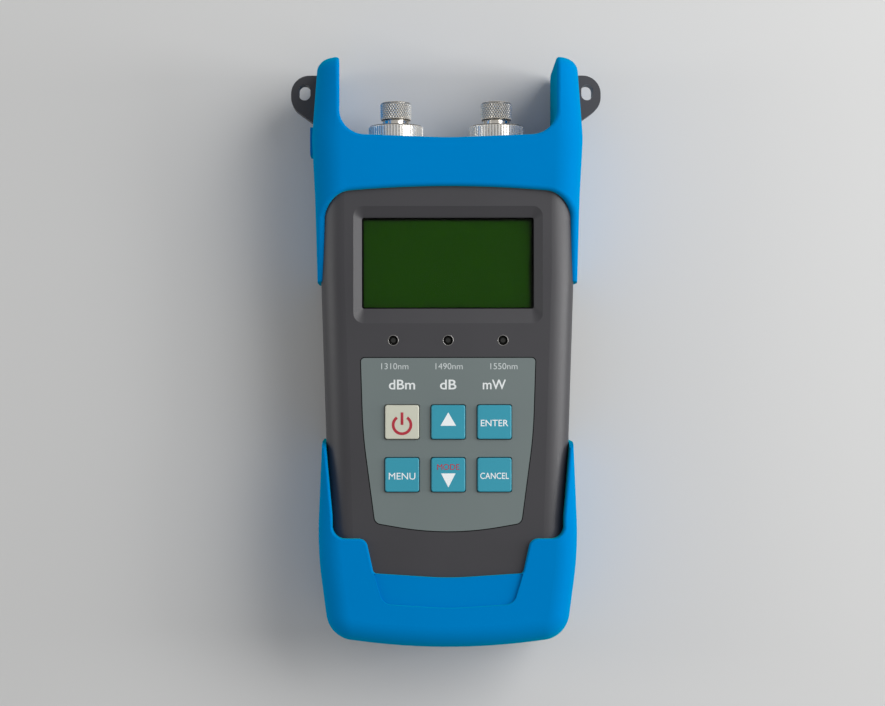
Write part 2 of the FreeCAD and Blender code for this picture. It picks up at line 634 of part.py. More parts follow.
def make_front_shell(hollow):
    shell = make_shell("front_shell", hollow, keep_front=True)
    cylinders(shell, "parting", f"{INNER_FACE} - parting", BOSSES, "boss_radius")
    cylinders(shell, "board_top", f"{INNER_FACE} - board_top", POSTS, "post_radius")
    bezel = rectangle("-bezel_half", "bezel_half", "bezel_low", "bezel_top", "bezel_round")
    opening = rectangle("-view_half", "view_half", "view_low", "view_top", "view_round")
    cut_loft(shell, flat_outline(shell, "XY", FACE, bezel),
             flat_outline(shell, "XY", f"{FACE} - bezel_drop", opening))
    pocket(shell, flat_outline(shell, "XY", FACE, opening), "2 * wall")
    pocket(shell, flat_outline(shell, "XY", FACE, label_corners(SHARP)), "label_thick")
    cut_key_holes(shell, "2 * wall")
    bores(shell, INNER_FACE, "2 * wall", [(across, "lamp_height") for across in LAMPS.values()], "lamp_hole")
    bores(shell, "parting", "screw_bite", BOSSES, "screw_radius")
    bores(shell, "board_top", "wall", POSTS, "board_screw")


def make_rear_shell(hollow):
    shell = make_shell("rear_shell", hollow, keep_front=False)
    boss_base = "(back_skin + back_wall / 2)"
    cylinders(shell, boss_base, f"parting - {boss_base}", BOSSES, "boss_radius")
    recess = rectangle(f"-({COVER_HALF} + cover_fit)", f"{COVER_HALF} + cover_fit",
                       f"{COVER_LOW} - cover_fit", f"{COVER_HIGH} + cover_fit", "wall + cover_fit")
    pocket(shell, flat_outline(shell, "XY", "back_skin", recess), "cover_thick + cover_gap",
           along_normal=True)
    opening = sketch(shell, "XY", "back_skin")
    outline(opening, rectangle(f"-{BAY_HALF}", BAY_HALF, BAY_LOW, BAY_HIGH))
    for across in ("hook_across", "-hook_across"):
        outline(opening, rectangle(f"{across} - hook_wide / 2 - hook_fit",
                                   f"{across} + hook_wide / 2 + hook_fit",
                                   f"{COVER_LOW} + hook_fit", f"{COVER_LOW} + hook_swing"))
    pocket(shell, opening, "2 * back_wall", along_normal=True)
    bores(shell, "back_skin", "head_deep + screw_fit", BOSSES, "screw_head + screw_fit")
    bores(shell, "back_skin", "parting", BOSSES, "screw_radius + screw_fit")


def cut_key_holes(piece, depth):
    """The six holes that the key caps stand in, cut down from the face."""
    for across, along in KEYS.values():
        hole = square(across, along, "key_side / 2 + key_fit", "key_round")
        pocket(piece, flat_outline(piece, "XY", FACE, hole), depth)


def square(across, along, half, radius):
    """Corners of a square about a centre."""
    return rectangle(f"{across} - ({half})", f"{across} + ({half})",
                     f"{along} - ({half})", f"{along} + ({half})", radius)


def label_corners(inset):
    """The keypad label's outline, drawn in by a gap all round."""
    return both_sides([(SHARP, f"label_foot - label_bow + {inset}", "4 * label_foot_half"),
                       (f"label_foot_half - {inset}", f"label_foot + {inset}", "label_foot_round"),
                       (f"label_waist_half - {inset}", "label_waist", "6 * label_foot_half"),
                       (f"label_top_half - {inset}", f"label_top - {inset}", "label_top_round")])


# Boots: stretched rubber, thick at the ends, with side arms that run along the case
def on_rim(half, high, low):
    """A test for the front edges of a boot's opening, by its half-width and its two ends."""
    middle, edge_half = number("parting"), number(half) + NEAR
    highest, lowest = number(high), number(low) - NEAR

    def test(edge):
        reach = edge.BoundBox
        return (reach.ZMin > middle and max(-reach.XMin, reach.XMax) < edge_half
                and lowest < reach.YMin and reach.YMax < highest)

    return test


def trim_arms(boot, tip, root):
    """Round the tips of a boot's side arms, seen from the side, with a cut that goes round them."""
    back, front = "(-side_skin)", f"({BOOT_FACE} + side_skin)"
    below, above, beyond = f"{back} - arm_round", f"{front} + arm_round", f"2 * {tip} - {root}"
    flat = flat_outline(boot, "YZ", "-half_length", [
        (root, below, SHARP), (root, back, SHARP), (tip, back, "arm_round"), (tip, front, "arm_round"),
        (root, front, SHARP), (root, above, SHARP), (beyond, above, SHARP), (beyond, below, SHARP)])
    pocket(boot, flat, along_normal=True)


def make_top_boot(form):
    solid = new_body("top_boot_solid")
    plan = both_sides([("top_arm_half", "top_arm_tip", SHARP), ("waist_half", "waist_height", "waist_round"),
                       ("bulge_half", "bulge_height", "bulge_round"), ("horn_half", "half_length", SHARP)])
    block = pad(solid, flat_outline(solid, "XY", SHARP, plan), BOOT_FACE)
    lip, tip = number("lip_inner"), number("half_length") - NEAR

    def along_side(level):
        return lambda edge: on_level(level)(edge) and abs(edge.CenterOfMass.x) > lip

    rounded = soften(solid, block, "boot_round", along_side(number(BOOT_FACE)))
    rounded = soften(solid, rounded, "boot_back_round", along_side(0.0))
    soften(solid, rounded, "horn_round", lambda edge: edge.BoundBox.YMin > tip)
    flap = rectangle("bulge_height - flap_half", "bulge_height + flap_half", "parting - flap_rise",
                     "parting + flap_rise", "flap_round")
    pad(solid, flat_outline(solid, "YZ", "-(bulge_half + flap_proud)", flap), "flap_proud + side_skin")
    open_bay = cut_bay(solid, both_sides([(SHARP, "bay_floor - bay_dip", "4 * horn_inner"),
                                          ("horn_inner", "bay_floor", "bay_round"),
                                          ("horn_inner", CLEAR, SHARP)]))
    soften(solid, open_bay, "bay_soften", on_rim("horn_inner", CLEAR, "bay_floor - 2 * bay_dip"))
    arch = both_sides([("lip_inner", "top_arm_tip - arch_round", SHARP),
                       ("lip_inner", "arch_height - arch_rise", "arch_round"),
                       (SHARP, "arch_height + arch_rise / 2", "9 * lip_inner")])
    opening = pocket(solid, flat_outline(solid, "XY", SHARP, arch), along_normal=True)
    soften(solid, opening, "lip_soften", on_rim("lip_inner", "arch_height + arch_rise", "-half_length"))
    trim_arms(solid, "top_arm_tip", "(top_arm_tip + 2 * arm_round)")
    holes = sketch(solid, "XZ", "-bay_floor - 2 * side_skin")
    for across in PORTS.values():
        circle(holes, across, "parting", "barrel_radius + port_hole")
    pocket(solid, holes, "4 * side_skin", along_normal=True)
    cut_from("top_boot", solid, form)


def make_bottom_boot(form):
    solid = new_body("bottom_boot_solid")
    corner = "tail_bow - half_length"
    plan = both_sides([(SHARP, f"{corner} - 3 * tail_bow / 2", "tail_bow_round"),
                       ("tail_end_half", corner, "tail_corner"),
                       ("tail_bulge_half", "-tail_bulge", "tail_bulge_round"),
                       ("tail_arm_half", "-tail_arm_tip", SHARP)])
    block = pad(solid, flat_outline(solid, "XY", SHARP, plan), BOOT_FACE)
    tip = -number("tail_arm_tip") - NEAR

    def round_the_tail(level):
        return lambda edge: on_level(level)(edge) and edge.BoundBox.YMin < tip

    rounded = soften(solid, block, "tail_round", round_the_tail(number(BOOT_FACE)))
    soften(solid, rounded, "boot_back_round", round_the_tail(0.0))
    window = both_sides([(SHARP, "-(tongue_end + tongue_bow)", "4 * tongue_half"),
                         ("tongue_half", "-tongue_end", "tongue_round"),
                         ("step_half", "-step_height", "step_round"),
                         ("lip_low_half", "-step_height", "step_corner"),
                         ("lip_low_half", "close_in - step_height", "close_round"),
                         ("lip_inner", "-tail_arm_tip", SHARP), ("lip_inner", "0", SHARP)])
    opening = pocket(solid, flat_outline(solid, "XY", SHARP, window), along_normal=True)
    soften(solid, opening, "tail_lip_soften", on_rim("lip_inner", SHARP, "-(tongue_end + tongue_bow)"))
    panel = both_sides([(SHARP, "-(panel_end + panel_bow)", "4 * panel_half"),
                        ("panel_half", "-panel_end", "panel_round"), ("tongue_half", "-tongue_end", SHARP)])
    pocket(solid, flat_outline(solid, "XY", BOOT_FACE, panel), "panel_step")
    trim_arms(solid, "(-tail_arm_tip)", "(-tail_arm_tip - 2 * arm_round)")
    cut_from("bottom_boot", solid, form)


# Display: a window glued behind the bevel, the liquid crystal panel and its light box on the board
def make_display():
    lap = "window_lap"
    sides = (f"-(view_half + {lap})", f"view_half + {lap}", f"view_low - {lap}", f"view_top + {lap}")
    window_base = f"({INNER_FACE} - window_thick)"
    panel_base = f"({window_base} - stack_gap - panel_thick)"
    box("lcd_window", *sides, window_base, "window_thick", "2 * bezel_drop")
    box("lcd_panel", *sides, panel_base, "panel_thick")
    box("backlight", *sides, "board_top", f"{panel_base} - board_top")


def make_board():
    board = new_body("main_board")
    flat = flat_outline(board, "XY", BOARD_BACK,
                        rectangle("-board_half", "board_half", "board_low", "board_high", "wall"))
    for across, along in POSTS:
        circle(flat, across, along, "board_screw")
    pad(board, flat, "board_thick")


def make_keypad():
    label = new_body("keypad_label")
    pad(label, flat_outline(label, "XY", f"{FACE} - label_thick", label_corners("label_fit")), "label_thick")
    cut_key_holes(label, "2 * label_thick")
    flange_top = f"({INNER_FACE} - flange_gap)"
    flange_base = f"({flange_top} - flange_thick)"
    for name, (across, along) in KEYS.items():
        key = new_body("key_" + name)
        foot = square(across, along, "key_side / 2 + key_flange", "key_round")
        pad(key, flat_outline(key, "XY", flange_base, foot), "flange_thick")
        cap = square(across, along, "key_side / 2", "key_round")
        raised = pad(key, flat_outline(key, "XY", flange_base, cap), f"{FACE} + key_rise - {flange_base}")
        top = number(f"{FACE} + key_rise")
        soften(key, raised, "key_round / 2", lambda edge: edge.BoundBox.ZMin > top - NEAR)
    mat = new_body("key_mat")
    edge = rectangle("-(key_pitch + key_side)", "key_pitch + key_side", "key_lower - key_side",
                     "key_upper + key_side", "wall")
    pad(mat, flat_outline(mat, "XY", "board_top", edge), "mat_thick")
    dome_top = f"({flange_base} - key_travel - dome_gap)"
    cylinders(mat, "board_top", f"{dome_top} - board_top", KEYS.values(), "dome_radius")


def make_lamps():
    for name, across in LAMPS.items():
        lamp = new_body("indicator_" + name)
        bind(lamp, "Placement.Base.x", across)
        bind(lamp, "Placement.Base.y", "lamp_height")
        top = f"({FACE} - lamp_drop)"
        turn(lamp, [("0", "board_top"), ("lamp_radius + lamp_flange", "board_top"),
                    ("lamp_radius + lamp_flange", "board_top + lamp_foot"),
                    ("lamp_radius", "board_top + lamp_foot"), ("lamp_radius", f"{top} - lamp_radius / 2"),
                    ("lamp_radius / 2", top), ("0", top)])


# Ports: all are turned about the port axis, so heights here run along Y
def make_ports():
    collar_inside = f"({ROOM_TOP} - collar_thick)"
    lip = "(nut_top - nut_lip)"
    detector_end = "(barrel_end - detector_deep)"
    cap_inside = "(thread_end + 2 * seal_gap + seal_thick)"
    for side, across in PORTS.items():
        barrel = new_body("port_barrel_" + side)
        turn(barrel, [("barrel_bore", f"{collar_inside} - collar_deep"),
                      ("barrel_radius", f"{collar_inside} - collar_deep"),
                      ("barrel_radius", collar_inside), ("collar_radius", collar_inside),
                      ("collar_radius", ROOM_TOP), ("barrel_radius", ROOM_TOP),
                      ("barrel_radius", "barrel_end"), ("barrel_bore", "barrel_end")])
        detector = new_body("detector_" + side)
        turn(detector, [("0", f"{detector_end} - detector_length"),
                        ("detector_radius", f"{detector_end} - detector_length"),
                        ("detector_radius", detector_end), ("0", detector_end)])
        adapter = new_body("adapter_" + side)
        turn(adapter, [("ferrule_bore", "barrel_end"), ("plate_radius", "barrel_end"),
                       ("plate_radius", f"{lip} - turn_fit"), ("neck_radius", f"{lip} - turn_fit"),
                       ("neck_radius", "neck_end"), ("thread_radius", "neck_end"),
                       ("thread_radius", "thread_end - thread_edge"),
                       ("thread_radius - thread_edge", "thread_end"), ("ferrule_bore", "thread_end")])
        slot = rectangle("neck_radius - slot_deep", "2 * neck_radius", "-neck_slot / 2", "neck_slot / 2")
        slot_flat = flat_outline(adapter, "XY", "neck_end", slot)
        repeat_round(adapter, pocket(adapter, slot_flat, "neck_long"), NECK_SLOTS)
        nut = new_body("ring_nut_" + side)
        turn(nut, [("barrel_radius + turn_fit", "nut_low"), ("nut_radius - nut_edge", "nut_low"),
                   ("nut_radius", "nut_low + nut_edge"), ("nut_radius", "nut_top - nut_front_edge"),
                   ("nut_radius - nut_front_edge", "nut_top"), ("neck_radius + turn_fit", "nut_top"),
                   ("neck_radius + turn_fit", lip), ("barrel_radius + turn_fit", lip)])
        flute = [("nut_radius - flute_deep", "0", SHARP), ("nut_radius + flute_deep", "-flute_deep", SHARP),
                 ("nut_radius + flute_deep", "flute_deep", SHARP)]
        flute_flat = flat_outline(nut, "XY", "nut_top", flute)
        repeat_round(nut, pocket(nut, flute_flat, "nut_long"), NUT_FLUTES)
        seal = new_body("cap_seal_" + side)
        turn(seal, [("0", "thread_end + seal_gap"), ("thread_radius - seal_fit", "thread_end + seal_gap"),
                    ("thread_radius - seal_fit", "thread_end + seal_gap + seal_thick"),
                    ("0", "thread_end + seal_gap + seal_thick")])
        cap = new_body("dust_cap_" + side)
        turn(cap, [("thread_radius + turn_fit", "cap_low"), ("cap_radius", "cap_low"),
                   ("cap_radius", "cap_top - cap_edge"), ("cap_radius - cap_edge", "cap_top"),
                   ("0", "cap_top"), ("0", cap_inside), ("thread_radius + turn_fit", cap_inside)])
        for piece in (barrel, detector, adapter, nut, seal, cap):
            stand_on_port(piece, across)


# Power: four cells in a tray behind the hooked cover
def make_power():
    cell_top = f"({CELL_BASE} + 2 * cell_radius)"
    tray = box("battery_tray", f"-({BAY_HALF} + tray_wall)", f"{BAY_HALF} + tray_wall",
               f"{BAY_LOW} - tray_wall", f"{BAY_HIGH} + tray_wall", INNER_BACK,
               f"{cell_top} + cell_gap + tray_wall - {INNER_BACK}")
    inside = rectangle(f"-{BAY_HALF}", BAY_HALF, BAY_LOW, BAY_HIGH)
    pocket(tray, flat_outline(tray, "XY", INNER_BACK, inside), f"{cell_top} + cell_gap - {INNER_BACK}",
           along_normal=True)
    contacts = new_body("battery_contacts")
    for low in (BAY_LOW, f"{BAY_HIGH} - contact_thick"):
        strip = rectangle(f"-{BAY_HALF}", BAY_HALF, low, f"{low} + contact_thick")
        pad(contacts, flat_outline(contacts, "XY", CELL_BASE, strip), "2 * cell_radius")
    for order in range(CELLS):
        across = f"{order - (CELLS - 1) / 2} * (2 * cell_radius + cell_gap)"
        cell = new_body(f"battery_cell_{order + 1}")
        turn(cell, [("0", "0"), ("cell_radius", "0"), ("cell_radius", "cell_length - cell_button"),
                    ("contact_radius", "cell_length - cell_button"), ("contact_radius", "cell_length"),
                    ("0", "cell_length")])
        upwards = order % 2 == 0
        turned = FreeCAD.Rotation(FreeCAD.Vector(1, 0, 0), -90 if upwards else 90)
        cell.Placement = FreeCAD.Placement(FreeCAD.Vector(), turned)
        bind(cell, "Placement.Base.x", across)
        bind(cell, "Placement.Base.y", "cell_foot" if upwards else "cell_foot + cell_length")
        bind(cell, "Placement.Base.z", f"{CELL_BASE} + cell_radius")
        springs = sketch(contacts, "XZ", f"-({BAY_LOW} + contact_thick)")
        circle(springs, across, f"{CELL_BASE} + cell_radius", "contact_radius")
        pad(contacts, springs, "contact_room - contact_thick", backwards=True)
        nubs = sketch(contacts, "XZ", f"-({BAY_HIGH} - contact_thick)")
        circle(nubs, across, f"{CELL_BASE} + cell_radius", "contact_radius")
        pad(contacts, nubs, "contact_room - contact_thick")


def make_cover():
    cover = new_body("battery_cover")
    plate = sketch(cover, "XY", "back_skin")
    outline(plate, rectangle(f"-{COVER_HALF}", COVER_HALF, COVER_LOW, COVER_HIGH, "wall"))
    for middle in ("tongue_wide / 2", "-tongue_wide / 2"):
        outline(plate, rectangle(f"{middle} - tongue_slit / 2", f"{middle} + tongue_slit / 2",
                                 f"{COVER_HIGH} - cover_rim - tongue_long", f"{COVER_HIGH} - cover_rim",
                                 "full_round * tongue_slit"))
    pad(cover, plate, "cover_thick")
    stem_base = "(back_skin + cover_thick)"
    hook_top = f"({INNER_BACK} + hook_fit + hook_thick)"
    stem_low = f"({COVER_LOW} + 2 * hook_fit)"
    for across in ("hook_across", "-hook_across"):
        sides = (f"{across} - hook_wide / 2", f"{across} + hook_wide / 2")
        stem = rectangle(*sides, stem_low, f"{stem_low} + hook_stem")
        pad(cover, flat_outline(cover, "XY", stem_base, stem), f"{hook_top} - {stem_base}")
        finger = rectangle(*sides, f"{COVER_LOW} - hook_reach", f"{stem_low} + hook_stem")
        pad(cover, flat_outline(cover, "XY", f"{hook_top} - hook_thick", finger), "hook_thick")
    grip = rectangle("-tongue_wide / 2 + tongue_slit", "tongue_wide / 2 - tongue_slit",
                     f"{COVER_HIGH} - 2 * grip_wide", f"{COVER_HIGH} - grip_wide", "full_round * grip_wide")
    pocket(cover, flat_outline(cover, "XY", "back_skin", grip), "grip_deep", along_normal=True)


def make_screws():
    screws = new_body("case_screws")
    head_base = "(back_skin + screw_fit)"
    cylinders(screws, head_base, "head_deep", BOSSES, "screw_head")
    cylinders(screws, head_base, f"parting + screw_bite - screw_spare - {head_base}", BOSSES,
              "screw_radius - turn_fit")
    small = new_body("board_screws")
    cylinders(small, f"{BOARD_BACK} - board_screw", "board_screw", POSTS, "board_screw_head")
    cylinders(small, f"{BOARD_BACK} - board_screw", "board_screw + board_thick + wall - small_spare", POSTS,
              "board_screw - turn_fit")


def make_modules():
    box("splitter_module", "-module_half", "module_half", "module_low", "module_high",
        f"{BOARD_BACK} - module_deep", "module_deep", "module_round")
    buzzer = new_body("buzzer")
    cylinders(buzzer, f"{BOARD_BACK} - buzzer_deep", "buzzer_deep", [("buzzer_across", "buzzer_height")],
              "buzzer_radius")


# Build every piece, check each object, then write one file for each sub-part
FORMS = ("case_form", "case_room", "case_hollow", "top_boot_solid", "bottom_boot_solid")

form = make_case_form()
hollow = make_hollow_case(form)
make_front_shell(hollow)
make_rear_shell(hollow)
make_top_boot(form)
make_bottom_boot(form)
make_display()
make_board()
make_keypad()
make_lamps()
make_ports()
make_power()
make_cover()
make_screws()
make_modules()
doc.recompute()
failed = [item.Label for item in doc.Objects if "Invalid" in item.State or "Error" in item.State]
pieces = [item for item in doc.Objects
          if item.TypeId in ("PartDesign::Body", "Part::Cut") and item.Label not in FORMS]
failed += [piece.Label for piece in pieces if piece.Shape.isNull() or not piece.Shape.isValid()]
if failed:
    raise RuntimeError("failed: " + ", ".join(failed))
os.makedirs("parts", exist_ok=True)
for piece in pieces:
    piece.Shape.exportStep(f"parts/{piece.Label}.step")
print(len(pieces), "sub-parts written")
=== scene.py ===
import math

import bpy
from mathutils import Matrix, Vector


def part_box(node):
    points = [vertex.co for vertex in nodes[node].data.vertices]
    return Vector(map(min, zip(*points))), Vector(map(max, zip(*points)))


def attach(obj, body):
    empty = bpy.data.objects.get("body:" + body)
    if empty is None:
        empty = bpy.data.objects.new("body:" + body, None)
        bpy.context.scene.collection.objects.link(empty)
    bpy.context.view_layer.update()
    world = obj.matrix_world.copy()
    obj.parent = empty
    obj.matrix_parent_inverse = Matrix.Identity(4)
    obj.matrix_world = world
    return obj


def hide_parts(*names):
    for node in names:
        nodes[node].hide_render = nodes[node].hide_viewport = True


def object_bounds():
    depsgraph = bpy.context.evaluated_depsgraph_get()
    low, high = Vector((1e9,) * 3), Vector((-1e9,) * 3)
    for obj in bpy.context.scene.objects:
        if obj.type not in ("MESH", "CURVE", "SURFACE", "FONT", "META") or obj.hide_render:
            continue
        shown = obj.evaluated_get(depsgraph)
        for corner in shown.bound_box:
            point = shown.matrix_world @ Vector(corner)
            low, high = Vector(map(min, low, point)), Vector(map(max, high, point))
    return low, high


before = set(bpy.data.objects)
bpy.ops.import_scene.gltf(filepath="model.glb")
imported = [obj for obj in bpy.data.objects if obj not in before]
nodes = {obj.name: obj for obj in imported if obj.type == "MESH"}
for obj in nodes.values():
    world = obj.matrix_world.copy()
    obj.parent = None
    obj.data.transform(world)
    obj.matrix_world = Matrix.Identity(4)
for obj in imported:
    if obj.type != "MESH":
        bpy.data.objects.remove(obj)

cad_low, cad_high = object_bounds()
MM = 0.001

# The table the meter lies on, on its back: a matt pale board that runs far past the
# meter on every side, so that it fills the view behind it.
FLOOR_REACH = 6.0
FLOOR_PALE = (0.57, 0.57, 0.565, 1)
FLOOR_ROUGH = 0.85


def shader_of(material):
    """The one shader that a material of this script has."""
    return material.node_tree.nodes["Principled BSDF"]


def plain_material(name, colour, roughness):
    """A new material with its shader's own colour and roughness set."""
    made = bpy.data.materials.new(name)
    made.use_nodes = True
    shader_of(made).inputs["Base Color"].default_value = colour
    shader_of(made).inputs["Roughness"].default_value = roughness
    return made


def deselect():
    """Nothing stays selected, so that the next operator acts on its own piece alone."""
    if bpy.context.mode != "OBJECT":
        bpy.ops.object.mode_set(mode="OBJECT")
    bpy.ops.object.select_all(action="DESELECT")


deselect()
bpy.ops.mesh.primitive_plane_add(size=FLOOR_REACH, location=(0, 0, cad_low.z))
floor = bpy.context.object
floor.name = "floor"
floor.data.materials.append(plain_material("matt_board", FLOOR_PALE, FLOOR_ROUGH))

# The studio: one large soft box up on the right, a strip each side for the rounded
# edges, and an even pale room. The room is dimmer to the meter than to the eye.
ROOM_DIM = 0.42
ROOM_PALE = 0.85
SOFT_BOXES = (
    ("key_box", (0.62, 0.42, 0.72), 0.70, 0.70, 7.5),
    ("right_strip", (0.85, 0.02, 0.16), 0.22, 0.90, 5.5),
    ("left_strip", (-0.85, 0.05, 0.22), 0.16, 0.70, 1.6),
)
for name, place, width, height, power in SOFT_BOXES:
    lamp = bpy.data.lights.new(name, "AREA")
    lamp.shape = "RECTANGLE"
    lamp.size = width
    lamp.size_y = height
    lamp.energy = power
    lit = bpy.data.objects.new(name, lamp)
    bpy.context.scene.collection.objects.link(lit)
    lit.location = place
    lit.rotation_euler = (-Vector(place)).to_track_quat("-Z", "Y").to_euler()

room = bpy.data.worlds.new("room")
room.use_nodes = True
tree = room.node_tree
sky = tree.nodes["Background"]
path = tree.nodes.new("ShaderNodeLightPath")
seen = tree.nodes.new("ShaderNodeMapRange")
seen.inputs["To Min"].default_value = ROOM_DIM
seen.inputs["To Max"].default_value = ROOM_PALE
tree.links.new(path.outputs["Is Camera Ray"], seen.inputs["Value"])
tree.links.new(seen.outputs["Result"], sky.inputs["Strength"])
sky.inputs["Color"].default_value = (1, 1, 1, 1)
bpy.context.scene.world = room

# The camera looks straight down on the meter's face from a little to its left, with the
# lens shifted back over the meter. It leans by a hair.
STAND_OFF = 0.600
MID_DEPTH = 21.5 * MM
CAMERA_SIDE = -20.0 * MM
LENS_SHIFT = 0.0625
CAMERA_DOWN = -0.15 * MM
LEAN = math.radians(0.04)
LENS_LONG = 72
FILM_WIDE = 36
lens = bpy.data.cameras.new("camera")
lens.lens = LENS_LONG
lens.sensor_width = FILM_WIDE
lens.shift_x = LENS_SHIFT
camera = bpy.data.objects.new("camera", lens)
bpy.context.scene.collection.objects.link(camera)
camera.location = (CAMERA_SIDE, CAMERA_DOWN, MID_DEPTH + STAND_OFF)
camera.rotation_euler = (0, 0, -LEAN)
bpy.context.scene.camera = camera
bpy.context.scene.view_settings.view_transform = "Standard"

# The two case shells are moulded in dark grey ABS from a spark-eroded tool, which leaves
# a fine even grain, with a polish that differs a little where hands have rubbed it.
CASE_GREY = (0.031, 0.030, 0.034, 1)
CASE_WORN = (0.041, 0.040, 0.045, 1)
GRAIN_PER_M = 3600
CLOUD_PER_M = 28
SCUFFS_PER_M = Vector((90, 810, 360))
SCUFF_TURN = (0.2, 0.1, 0.7)
SCUFF_STARTS = 0.62
SCUFF_FULL = 0.74
GRAIN_STRENGTH = 0.5


def own_place(tree):
    """The place on the piece itself, in metres, where a pattern is read."""
    return tree.nodes.new("ShaderNodeTexCoord").outputs["Object"]


def noise(tree, place, per_metre, detail=2):
    """Cloudy noise between 0 and 1."""
    clouds = tree.nodes.new("ShaderNodeTexNoise")
    clouds.inputs["Scale"].default_value = per_metre
    clouds.inputs["Detail"].default_value = detail
    tree.links.new(place, clouds.inputs["Vector"])
    return clouds.outputs["Fac"]


def ranged(tree, value, low, high, from_low=0, from_high=1, fade="LINEAR"):
    """Brings a value from one range to another and holds it at both ends."""
    ramp = tree.nodes.new("ShaderNodeMapRange")
    ramp.interpolation_type = fade
    ramp.inputs["From Min"].default_value = from_low
    ramp.inputs["From Max"].default_value = from_high
    ramp.inputs["To Min"].default_value = low
    ramp.inputs["To Max"].default_value = high
    tree.links.new(value, ramp.inputs["Value"])
    return ramp.outputs["Result"]


def mixed(tree, share, first, second):
    """A colour between two, the first of them fixed and the second fixed or a node's."""
    mix = tree.nodes.new("ShaderNodeMix")
    mix.data_type = "RGBA"
    mix.inputs["A"].default_value = first
    if isinstance(second, tuple):
        mix.inputs["B"].default_value = second
    else:
        tree.links.new(second, mix.inputs["B"])
    tree.links.new(share, mix.inputs["Factor"])
    return mix.outputs["Result"]


def reckoned(tree, kind, first, second=0.0):
    """One step of arithmetic on two values, each a number or a node's."""
    step = tree.nodes.new("ShaderNodeMath")
    step.operation = kind
    for order, value in enumerate((first, second)):
        if isinstance(value, float):
            step.inputs[order].default_value = value
        else:
            tree.links.new(value, step.inputs[order])
    return step.outputs["Value"]


def bumped(material, height, strength, depth):
    """Raises a material's surface by a pattern of heights."""
    tree = material.node_tree
    bump = tree.nodes.new("ShaderNodeBump")
    bump.inputs["Strength"].default_value = strength
    bump.inputs["Distance"].default_value = depth
    tree.links.new(height, bump.inputs["Height"])
    tree.links.new(bump.outputs["Normal"], shader_of(material).inputs["Normal"])


def moulded(name, dark, light, rough_low, rough_high, grain, depth, scuff=0.06):
    """Moulded plastic or rubber: clouded colour and polish, fine grain and faint scuffs."""
    made = plain_material(name, dark, rough_low)
    tree, shader = made.node_tree, shader_of(made)
    where = own_place(tree)
    clouds = noise(tree, where, CLOUD_PER_M, 4)
    tree.links.new(mixed(tree, clouds, dark, light), shader.inputs["Base Color"])
    stretch = tree.nodes.new("ShaderNodeMapping")
    stretch.inputs["Scale"].default_value = SCUFFS_PER_M
    stretch.inputs["Rotation"].default_value = SCUFF_TURN
    tree.links.new(where, stretch.inputs["Vector"])
    scuffs = noise(tree, stretch.outputs["Vector"], 1, 3)
    rubbed = ranged(tree, scuffs, 0, scuff, SCUFF_STARTS, SCUFF_FULL)
    polish = ranged(tree, clouds, rough_low, rough_high)
    tree.links.new(reckoned(tree, "SUBTRACT", polish, rubbed), shader.inputs["Roughness"])
    bumped(made, noise(tree, where, grain), GRAIN_STRENGTH, depth)
    return made


def dress(names, material):
    """Gives CAD nodes their finish in the slots they already have."""
    for name in names:
        for place in nodes[name].material_slots:
            place.material = material


case_plastic = moulded(
    "spark_grained_abs", CASE_GREY, CASE_WORN, 0.40, 0.50, GRAIN_PER_M, 0.03 * MM
)
dress(("front_shell", "rear_shell", "battery_cover"), case_plastic)

# The two boots are soft blue rubber, moulded as loose sleeves and pulled over the ends
# of the case. The rubber is matt, so it shines only where the light grazes it.
BOOT_BLUE = (0.0, 0.170, 0.475, 1)
BOOT_BLUE_RUBBED = (0.0, 0.190, 0.520, 1)
BOOT_SHEEN = 0.26
BOOT_SHEEN_ROUGH = 0.5
BOOT_SHEEN_TINT = (0.0, 1.0, 0.5, 1)
boot_rubber = moulded(
    "blue_boot_rubber", BOOT_BLUE, BOOT_BLUE_RUBBED, 0.50, 0.60, 2400, 0.02 * MM, 0.09
)
shader = shader_of(boot_rubber)
shader.inputs["Specular IOR Level"].default_value = 0.0
shader.inputs["Sheen Weight"].default_value = BOOT_SHEEN
shader.inputs["Sheen Roughness"].default_value = BOOT_SHEEN_ROUGH
shader.inputs["Sheen Tint"].default_value = BOOT_SHEEN_TINT
dress(("bottom_boot",), boot_rubber)

# The top boot's two horns guard the ports. The rubber is thickest round the bay between
# them, so the bay's floor stands a little higher and the horns reach a little further in.
BAY_LEAN = 1.5 * MM
BAY_EDGE = 67.8 * MM
BAY_CORNER_TOP = 85.0 * MM
HORN_EDGE = 37.45 * MM
FLOOR_END = 26.0 * MM
FLOOR_UP = 1.5 * MM
CORNER_UP = 1.8 * MM
HORN_SWELL = 1.07
CAD_SEAM = 0.002 * MM
MESH_SEAM = 0.0005 * MM
BOOT_SMOOTH = 32


def work_on(piece):
    """Makes one piece the only one that the next operators act on."""
    deselect()
    piece.select_set(True)
    bpy.context.view_layer.objects.active = piece


def copied(piece, name):
    """A copy with its own mesh."""
    twin = piece.copy()
    twin.data = piece.data.copy()
    twin.name = name
    bpy.context.scene.collection.objects.link(twin)
    return twin


def joined_copy(node, name):
    """A copy of a CAD node whose loose triangles are joined at their seams."""
    twin = copied(nodes[node], name)
    work_on(twin)
    bpy.ops.mesh.customdata_custom_splitnormals_clear()
    bpy.ops.object.mode_set(mode="EDIT")
    bpy.ops.mesh.select_all(action="SELECT")
    bpy.ops.mesh.remove_doubles(threshold=CAD_SEAM)
    bpy.ops.object.mode_set(mode="OBJECT")
    return twin


